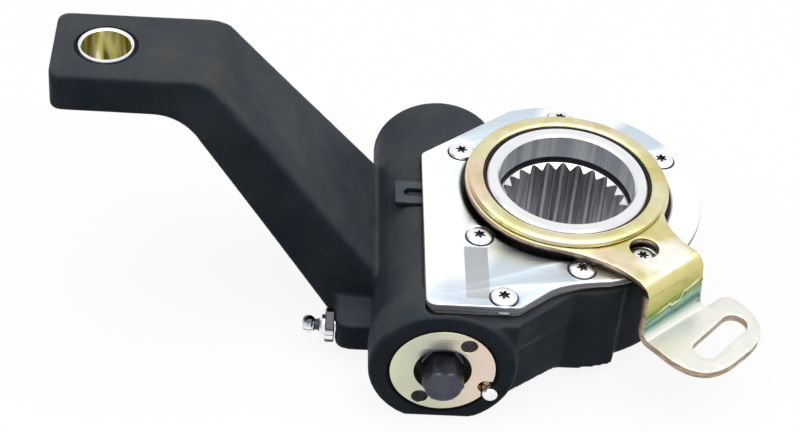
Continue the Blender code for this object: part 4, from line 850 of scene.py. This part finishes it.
def cover_shim():
    """The plate under the cover, with a painted tab on its left side and a slot in the tab."""
    root, end, chamfer = -47.0, -58.5, 0.5
    tab_front, tab_back = -6.5, 5.0
    slot_x, slot_y, slot_half = -53.5, -0.75, 2.0
    paint_edge = -48.6 * MM
    tab = [(root, tab_front), (end + chamfer, tab_front), (end, tab_front + chamfer),
           (end, tab_back - chamfer), (end + chamfer, tab_back), (root, tab_back)]
    outline = cover_outline(0.8, SHIM_RADIUS)
    at = max(i for i, (x, y) in enumerate(outline) if x < root - 1 and y > tab_back)
    outline = outline[:at + 1] + tab[::-1] + outline[at + 1:]
    slot = [(root, slot_y + slot_half), (root, slot_y - slot_half)]
    slot += arc(slot_half, 90, 270, 10, (slot_x, slot_y))[::-1]
    holes = [circle(HUB_ROOM, 96)] + [circle(SCREW_HOLE, 24, p) for p in SCREW_PLACES]
    shim = plate("cover_shim_skin", [outline, slot] + holes, SHIM_LOW, SHIM_HIGH, 0.3, COVER, steps=2)
    shim.data.materials.append(TAB_PAINT)
    with edited(shim.data) as edit:
        bmesh.ops.bisect_plane(edit, geom=edit.verts[:] + edit.edges[:] + edit.faces[:], dist=1e-7,
                               plane_co=(paint_edge, 0, 0), plane_no=(1, 0, 0))
        for face in edit.faces:
            if face.calc_center_median().x < paint_edge:
                face.material_index = 1
    place(shim, "housing_body", "cover_shim")


def screw(number, x, y, turn):
    """A round head with a bevelled rim and a six-point star recess."""
    count = 72
    top, under = 46.1, 44.4
    shank, head = 2.3, 4.3
    angles = [TURN * i / count for i in range(count)]
    star = [1.62 + 0.48 * cos(6 * (angle + turn)) for angle in angles]
    rows = [([radius] * count, z) for radius, z in (
        (1.6, 34.2), (shank, 35.0), (shank, under), (head - 0.15, under), (head, under + 0.25),
        (head, under + 0.95), (head - 0.2, under + 1.25), (3.2, top - 0.12), (2.5, top))]
    rows += [([r * grow for r in star], z) for grow, z in ((1.0, top), (0.96, top - 0.08), (0.90, top - 1.1))]
    vertices = [about("Z", r, angle, z, (x, y, 0)) for radii, z in rows for r, angle in zip(radii, angles)]
    end = len(vertices)
    faces = [tuple(range(count)), tuple(reversed(range(end - count, end)))] + bands(len(rows), count)
    # painted shade: the star recess's walls and floor take the dark material
    marks = [0, 1] + [0] * (len(rows) - 2) * count + [1] * count
    piece = add(f"cover_screw_skin_{number}", vertices, faces, [BRIGHT, DARK_STEEL_AND_SHADE], marks, 35)
    place(piece, "housing_body", f"cover_screw_{number}")


# The front cap, the hexagon and the nipple

BARREL = (WORM_X, WORM_Z)
LOCK_PIN = polar(19.2, -31, BARREL)


def cap_rim():
    """The cap's rim, round but for the notch of the lock pin and a second one beside it."""
    centre = Vector(BARREL)
    rooms = [(Vector(LOCK_PIN) - centre, 3.05), (Vector(polar(16.2, -24, BARREL)) - centre, 2.7)]
    rim = []
    for i in range(720):
        way = Vector(polar(1.0, 0.5 * i))
        reach = CAP_RADIUS
        for room, size in rooms:
            along = way.dot(room)
            off = room.length_squared - along ** 2
            if along > 0 and off < size ** 2:
                reach = min(reach, along - sqrt(size ** 2 - off))
        rim.append((WORM_X + way.x * reach, WORM_Z + way.y * reach))
    return [p for i, p in enumerate(rim) if i % 3 == 0 or dist(p, BARREL) < CAP_RADIUS - 0.01]


def front_cap():
    """The threaded cap: a flat plated face with two pin holes, and a grooved ring behind it."""
    window, pin_hole = 9.4, 2.7
    face_back = FRONT_Y + 4.0
    groove, groove_front, groove_back = 15.8, FRONT_Y + 4.5, FRONT_Y + 6.7
    floor_front, floor_back = FRONT_Y + 3.3, FRONT_Y + 3.6
    spots = [polar(13.8, a, BARREL) for a in (56, 241)]
    face = plate("front_cap_skin", [cap_rim(), circle(window, 96, BARREL)]
                 + [circle(pin_hole, 40, spot) for spot in spots], FRONT_Y, face_back, 0.35, CAP, "Y")
    back = spun("cap_back", [
        (window, face_back), (CAP_RADIUS, groove_front), (groove, groove_front), (groove, groove_back),
        (CAP_RADIUS, groove_back), (CAP_RADIUS, CAP_BACK), (window, CAP_BACK)],
        [CAP], axis="Y", at=(WORM_X, 0, WORM_Z), steps=96)
    # painted shade: a dark floor a little way into each pin hole
    profile = [(0, floor_front), (pin_hole, floor_front), (pin_hole, floor_back), (0, floor_back)]
    floors = [spun("pin_hole_floor", profile, [DARK_STEEL_AND_SHADE], axis="Y", at=(x, 0, z), steps=32) for x, z in spots]
    join(face, back, *floors)
    place(face, "housing_body", "front_end_cap")


def cap_lock_pin():
    """The domed pin that locks the cap."""
    profile = [(radius, FRONT_Y + back) for radius, back in (
        (0, -1.3), (0.9, -1.24), (1.7, -1.0), (2.3, -0.6), (2.65, -0.1), (2.75, 0.4), (2.75, 3.7), (0, 3.7))]
    x, z = LOCK_PIN
    pin = spun("cap_lock_pin_skin", profile, [BRIGHT], axis="Y", at=(x, 0, z), steps=48)
    place(pin, "housing_body", "cap_lock_pin")


def adjusting_hexagon():
    """The shaft: a hexagon with a turned chamfer on its end, and the journals behind it."""
    steps = 144
    front, back = FRONT_Y - 8.0, FRONT_Y + 3.0
    flat = 12.0 / 2
    sixth = pi / 3
    journal, shaft, tiny = 7.0, 5.4, 0.02
    shoulder, end = -43.2, 44.8
    angles = [TURN * i / steps for i in range(steps)]
    hexagon = [flat / cos(angle % sixth - sixth / 2) for angle in angles]
    rows = [([tiny] * steps, front)]
    rows += [([min(r, most) for r in hexagon], y)
             for most, y in ((5.5, front), (6.0, front + 0.35), (6.9, front + 1.1))]
    rows += [([r * 0.995 for r in hexagon], y) for y in (front + 1.2, back)]
    rows += [([radius] * steps, y) for radius, y in (
        (journal, back + 0.2), (journal, shoulder), (shaft, shoulder + 0.2), (shaft, end), (tiny, end + 0.1))]
    vertices = [about("Y", r, angle, y, (WORM_X, 0, WORM_Z))
                for radii, y in rows for r, angle in zip(radii, angles)]
    piece = add("adjusting_shaft_skin", vertices, bands(len(rows), steps), [DARK_STEEL_AND_SHADE], smooth=25)
    place(piece, "worm_body", "adjusting_shaft")


def nipple():
    """The grease nipple: hexagon, waist and ball with its tiny bore."""
    foot = -77.3
    tip = foot - 10.8
    at = (0, -35.0, 10.1)
    across_flats = 10.4
    profile = [(radius, foot - reach) for radius, reach in (
        (0, -7), (2.5, -7), (2.5, 1), (3.5, 1), (3.5, 4.2), (2.4, 5.0), (1.9, 5.6), (1.9, 6.5), (2.5, 7.0),
        (3.0, 7.8), (3.1, 8.7), (2.9, 9.7), (2.3, 10.5))]
    profile += [(1.3, tip), (0.6, tip), (0.45, tip + 0.8), (0, tip + 0.8)]
    # painted shade: the waist and the ball's tip with its bore take the dark material
    body = spun("grease_nipple_skin", profile, [BRIGHT, DARK_STEEL_AND_SHADE, CHROME], [0] * 5 + [1] * 3 + [2] * 5 + [1] * 4,
                axis="X", at=at, steps=48)
    rows = ((foot, 0.94), (foot - 0.35, 1.0), (foot - 2.8, 1.0), (foot - 3.2, 0.90))
    outline = [polar(across_flats / sqrt(3), 60 * k + 30) for k in range(6)]
    vertices = [(x, at[1] + a * grow, at[2] + b * grow) for x, grow in rows for a, b in outline]
    faces = [tuple(range(6)), tuple(reversed(range(18, 24)))] + bands(len(rows), 6)
    join(body, add("nipple_hexagon", vertices, faces, [CHROME], smooth=20))
    place(body, "housing_body", "grease_nipple")


# The wheel's hub, the retaining ring and the front seal

SPLINES = 25


def spline_radius(turn):
    """The splined bore's radius at an angle, with soft flanks."""
    root, depth = 22.0, 2.1
    tooth = (turn / (TURN / SPLINES)) % 1.0
    return root - depth * clamped((min(tooth, 1.0 - tooth) - 0.10) / 0.37)


def hub():
    """The wheel: turned ring, counterbore with a groove at its foot, splined bore and toothed rim."""
    floor = 39.6
    outer, collar = 27.9, 30.4
    collar_low, collar_high = 31.0, 37.2
    counterbore, groove = 23.2, 23.9
    chamfer, meeting = 22.1, 22.7
    back = HUB_BACK + 0.5
    profile = [
        (22.2, back), (outer - 0.6, HUB_BACK), (outer, HUB_BACK + 0.6), (outer, collar_low),
        (collar, collar_low), (collar, collar_high), (outer, collar_high), (outer, HUB_TOP - 0.9),
        (outer - 0.9, HUB_TOP), (24.0, HUB_TOP), (counterbore, HUB_TOP - 0.8), (counterbore, floor + 1.8),
        (groove, floor + 1.6), (groove, floor + 0.1), (22.6, floor)]
    # painted shade: the groove at the counterbore's foot takes the dark material
    paints = [0] * 10 + [1, 2, 2, 2, 0]
    ring = spun("wheel_hub_skin", profile, [HUB, BORE, DARK_STEEL_AND_SHADE], paints, steps=180, smooth=30)
    steps = SPLINES * 16
    angles = [TURN * i / steps for i in range(steps)]
    radii = [spline_radius(angle) for angle in angles]
    rows = [[(meeting, back)] * steps, [(max(r, 20.9), back) for r in radii],
            [(r, back + 0.9) for r in radii], [(r, floor - 0.65 * (chamfer - r)) for r in radii],
            [(chamfer, floor)] * steps, [(meeting, floor)] * steps]
    vertices = [about("Z", r, angle, z) for row in rows for (r, z), angle in zip(row, angles)]
    marks = [mark for mark in (0, 1, 1, 0, 0) for _ in range(steps)]
    bore = add("spline_bore", vertices, bands(len(rows), steps), [HUB, SPLINE], marks, 20)
    join(ring, bore, wheel_teeth())
    place(ring, "wheel_body", "worm_wheel")


def wheel_teeth():
    """The wheel's toothed rim: the CAD wheel without the faces of its hub."""
    hub_radius = 28.1 * MM
    mesh = nodes["worm_wheel"].data.copy()
    with edited(mesh) as edit:
        doomed = [f for f in edit.faces if all(hypot(v.co.x, v.co.y) < hub_radius for v in f.verts)]
        bmesh.ops.delete(edit, geom=doomed, context="FACES")
    mesh.materials.clear()
    mesh.materials.append(BRONZE)
    return shown("teeth", mesh)


def retaining_ring():
    """The ring over the control arm, with a rolled rim."""
    inner, outer = 28.9, 34.0
    profile = [
        (inner, RING_LOW), (outer, RING_LOW), (outer, RING_TOP - 0.45), (33.9, RING_TOP - 0.18),
        (33.55, RING_TOP), (29.6, RING_TOP), (29.1, RING_TOP - 0.2), (inner, RING_TOP - 0.5)]
    ring = spun("retaining_ring_skin", profile, [ZINC_RING], steps=200, smooth=50)
    place(ring, "control_body", "retaining_ring")


def front_seal():
    """The seal between the hub and the ring, up to its lip."""
    foot, lip = 41.9, RING_TOP - 0.7
    profile = [(28.13, foot), (30.0, foot), (30.0, 44.2), (28.58, 44.2), (28.58, lip),
               (28.35, RING_TOP - 0.6), (28.13, lip)]
    seal = spun("hub_seal_lip", profile, [RUBBER])
    place(seal, "control_body", "hub_seal_front")


# The control arm: drawn flat, with s along it and v across it, and then bent

NECK_END = 50.5
BEND = 3.5
NECK_FRONT = -16.9
NECK_BACK = 9.5
SHEET_TOP = ARM_TOP - ARM_THICK / 2
SHEET_LOW = ARM_TOP - 20.5 - ARM_THICK - ARM_THICK / 2
QUARTER = pi / 2 * BEND
WALL = (SHEET_TOP - BEND) - (SHEET_LOW + BEND)

# Where the upper bend, the wall, the lower bend and the tongue begin
STOPS = [NECK_END, NECK_END + QUARTER, NECK_END + QUARTER + WALL, NECK_END + 2 * QUARTER + WALL]

# What the bends add to the sheet's length, and the fine steps across them
SHIFT = STOPS[3] - (NECK_END + 2 * BEND)
BENT_PART = [NECK_END + (STOPS[3] - NECK_END) * i / 44 for i in range(45)]


def bent(s):
    """Reach, height and the outward normal of the sheet's middle at a flat length."""
    if s <= STOPS[0]:
        return s, SHEET_TOP, 0.0, 1.0
    if s <= STOPS[1]:
        t = (s - STOPS[0]) / BEND
        return NECK_END + BEND * sin(t), SHEET_TOP - BEND * (1 - cos(t)), sin(t), cos(t)
    if s <= STOPS[2]:
        return NECK_END + BEND, SHEET_TOP - BEND - (s - STOPS[1]), 1.0, 0.0
    if s <= STOPS[3]:
        t = (s - STOPS[2]) / BEND
        return (NECK_END + BEND + BEND * (1 - cos(t)), SHEET_LOW + BEND - BEND * sin(t),
                cos(t), sin(t))
    return s - SHIFT, SHEET_LOW, 0.0, 1.0


def side(s, at_neck, at_tongue):
    """Where a side of the wall lies, which runs straight from the neck down to the tongue."""
    return at_neck + (at_tongue - at_neck) * (SHEET_TOP - bent(s)[1]) / (SHEET_TOP - SHEET_LOW)


def arm_rim():
    """The sheet's rim: ring, neck, wall and tongue."""
    ring = 35.0
    foot_front, foot_back = -15.3, 12.8
    tip = 24.0
    first, last = degrees(asin(15.0 / ring)), 360 - degrees(asin(29.0 / ring))
    rim = arc(ring, first, last, 120)
    rim += curve(rim[-1], (36, NECK_FRONT), (47.5, NECK_FRONT), 18)[1:]
    rim += [(s, side(s, NECK_FRONT, foot_front)) for s in BENT_PART]
    rim += rounded([(STOPS[3], foot_front), (83.0 + SHIFT, foot_front), (79.6 + SHIFT, tip), (STOPS[3], tip),
                    (STOPS[3], foot_back)], [0, 17.0, 16.0, 4.5, 0], 16)[1:-1]
    rim += [(s, side(s, NECK_BACK, foot_back)) for s in reversed(BENT_PART)]
    rim += curve((47.5, NECK_BACK), (38, NECK_BACK), rim[0], 14)[:-1]
    return spaced(thinned(rim, 0.55), 1.6)


def arm_holes():
    """The ring's bore, the neck's hole and the tongue's long slot."""
    slot_half, slot_reach, slot_way = 4.4, 8.4, 98
    middle = (70.3 + SHIFT, 6.2)
    slot = arc(slot_half, slot_way - 90, slot_way + 90, 20, polar(slot_reach, slot_way, middle))
    slot += arc(slot_half, slot_way + 90, slot_way + 270, 20, polar(slot_reach, slot_way + 180, middle))
    return [circle(30.5, 150), circle(5.0, 48, (39.9, -3.5)), spaced(slot, 1.6)]


def arm_grid(rim, holes):
    """Points inside the sheet, closer together where it bends."""
    front, back = -25.6, 43.2
    points = []
    edge_points = [p for outline in [rim] + holes for p in outline]
    rows = [34.0 + 2.0 * i for i in range(8)] + BENT_PART[1:] + [STOPS[3] + 2.0 * i for i in range(1, 13)]
    for s in rows:
        step = 0.8 if STOPS[0] < s < STOPS[3] else 1.6
        for k in range(round(front / step), round(back / step)):
            point = (s, k * step)
            if within(point, rim, holes) and all(dist(point, p) > step / 2 for p in edge_points):
                points.append(point)
    return points


def crease(s, v):
    """Height of the two pressed lines across the wall."""
    if not STOPS[0] < s < STOPS[3]:
        return 0.0
    run = (v + 15.0) / 32.0
    step = 1.6 if 0.42 < run < 0.56 else 0.0
    upper = STOPS[1] + 9.5 - 5.0 * run + step
    lower = STOPS[2] - 1.2 - 2.2 * run
    return 0.30 * exp(-((s - upper) / 0.8) ** 2) - 0.25 * exp(-((s - lower) / 0.8) ** 2)


def arm_point(s, v):
    """A point of the bent sheet's middle, for a point of the flat one."""
    reach, height, outward, up = bent(s)
    push = crease(s, v)
    u = reach + outward * push
    turn = radians(ARM_DIRECTION)
    return u * cos(turn) - v * sin(turn), u * sin(turn) + v * cos(turn), height + up * push


def control_arm():
    """Pressed sheet: ring and neck, a wall bent down and a slotted tongue bent out."""
    rim = arm_rim()
    holes = arm_holes()
    points = []
    edges = []
    for outline in [rim] + holes:
        base = len(points)
        points += outline
        edges += [(base + i, base + (i + 1) % len(outline)) for i in range(len(outline))]
    points += arm_grid(rim, holes)
    flat, _, triangles = geometry.delaunay_2d_cdt([Vector(p) for p in points], edges, [], 0, 1e-5)[:3]
    kept = []
    for triangle in triangles:
        middle = tuple(sum(flat[i][k] for i in triangle) / 3 for k in (0, 1))
        if within(middle, rim, holes):
            kept.append(tuple(triangle))
    piece = add("control_arm_skin", [arm_point(*p) for p in flat], kept, [ZINC_ARM, EDGE], smooth=180)
    with edited(piece.data) as edit:
        highest = max(edit.faces, key=lambda f: f.calc_center_median().z)
        if highest.normal.z < 0:
            bmesh.ops.reverse_faces(edit, faces=edit.faces)
    solid = piece.modifiers.new("thickness", "SOLIDIFY")
    solid.thickness = ARM_THICK * MM
    solid.offset = 0.0
    solid.material_offset_rim = 1
    edges = piece.modifiers.new("edges", "BEVEL")
    edges.width = 0.22 * MM
    edges.segments = 2
    edges.limit_method = "ANGLE"
    edges.angle_limit = radians(60)
    edges.material = 1
    baked(piece)
    soften(piece.data, 60)
    place(piece, "control_body", "control_arm")


# Pieces kept from the CAD


def repaint():
    """CAD nodes whose shape stays get the material of this script."""
    kept = {
        RUBBER: ["cap_oring", "shaft_seal", "hub_seal_back"],
        BRONZE: ["shaft_bush"],
        CAP: ["rear_end_plug"],
        BRIGHT: [f"bearing_ball_{i}" for i in range(1, 9)],
        STEEL: ["rack_guide", "bearing_race_spring_side", "spring_seat", "clutch_pressure_spring",
                "worm_sleeve", "worm_key", "bearing_race_worm_side", "control_disc", "rack", "pinion",
                "one_way_clutch_spring"]}
    for paint, names in kept.items():
        for name in names:
            for slot in nodes[name].material_slots:
                slot.material = paint


# Floor, light and camera


def direct_sight(tree):
    """1 for the camera's rays, straight, in gloss or through glass, and 0 for the light on the object."""
    path = tree.nodes.new("ShaderNodeLightPath").outputs
    seen = path["Is Camera Ray"]
    for kind in ("Is Glossy Ray", "Is Transmission Ray"):
        node = tree.nodes.new("ShaderNodeMath")
        node.operation = "MAXIMUM"
        tree.links.new(seen, node.inputs[0])
        tree.links.new(path[kind], node.inputs[1])
        seen = node.outputs[0]
    return seen


def white_floor():
    """A floor that looks white and keeps the object's shadow."""
    half = 6.0 / MM
    level = -0.02
    corners = [(-half, -half, level), (half, -half, level), (half, half, level), (-half, half, level)]
    floor = add("floor", corners, [(0, 1, 2, 3)], [])
    g = Graph("floor_white", 0.9, Specular_IOR_Level=0.0)
    g.colour((0.13, 0.13, 0.13))
    emission = g.node("Emission", Strength=g.times(direct_sight(g.tree), 0.90))
    both = g.node("AddShader")
    g.link(g.shader.outputs[0], both.inputs[0])
    g.link(emission.outputs[0], both.inputs[1])
    g.link(both.outputs[0], g.tree.nodes["Material Output"].inputs["Surface"])
    floor.data.materials.append(g.material)


def studio_world():
    """A white surround that lights the object only a little."""
    world = bpy.data.worlds.new("studio")
    bpy.context.scene.world = world
    world.use_nodes = True
    tree = world.node_tree
    back = tree.nodes["Background"]
    level = tree.nodes.new("ShaderNodeMapRange")
    level.inputs["To Min"].default_value = 0.09
    level.inputs["To Max"].default_value = 1.0
    tree.links.new(direct_sight(tree), level.inputs["Value"])
    tree.links.new(level.outputs["Result"], back.inputs["Strength"])
    back.inputs["Color"].default_value = (1, 1, 1, 1)


def lamp(name, at, size, power):
    """A soft lamp that faces the object."""
    data = bpy.data.lights.new(name, "AREA")
    data.shape = "RECTANGLE"
    data.size, data.size_y = size
    data.energy = power
    light = shown(name, data)
    light.location = at
    light.rotation_euler = (Vector((-0.05, 0, 0.03)) - Vector(at)).to_track_quat("-Z", "Y").to_euler()


def photo_camera():
    """The photograph's camera: its turn, height and roll, the point it faces and its distance."""
    turn, rise, roll = (radians(v) for v in (-4.099, 40.563, 5.398))
    target = Vector((-57.67, -24.29, 51.0)) * MM
    distance = 710.8
    picture_width, focal_length = 800, 2145.3
    back = Vector((sin(turn) * cos(rise), -cos(turn) * cos(rise), sin(rise)))
    right = Vector((cos(turn), sin(turn), 0))
    up = back.cross(right)
    across = right * cos(roll) + up * sin(roll)
    over = -right * sin(roll) + up * cos(roll)
    eye = target + back * distance * MM
    data = bpy.data.cameras.new("camera")
    data.sensor_width = 36
    data.sensor_fit = "HORIZONTAL"
    data.lens = focal_length / picture_width * 36
    data.clip_start = 0.01
    camera = shown("camera", data)
    camera.matrix_world = Matrix.Translation(eye) @ Matrix((across, over, back)).transposed().to_4x4()
    bpy.context.scene.camera = camera
    bpy.context.scene.view_settings.view_transform = "Standard"


housing_skin()
clevis_bush()
cover_plate()
cover_shim()
for number, ((x, y), turn) in enumerate(zip(SCREW_PLACES, SCREW_TURNS), 1):
    screw(number, x, y, turn)
front_cap()
cap_lock_pin()
adjusting_hexagon()
nipple()
hub()
retaining_ring()
front_seal()
control_arm()
repaint()
white_floor()
studio_world()
lamp("key", (0.15, -0.05, 1.45), (1.8, 1.8), 18.3)
lamp("fill", (-0.9, -0.3, 0.9), (1.0, 0.8), 2.0)
photo_camera()
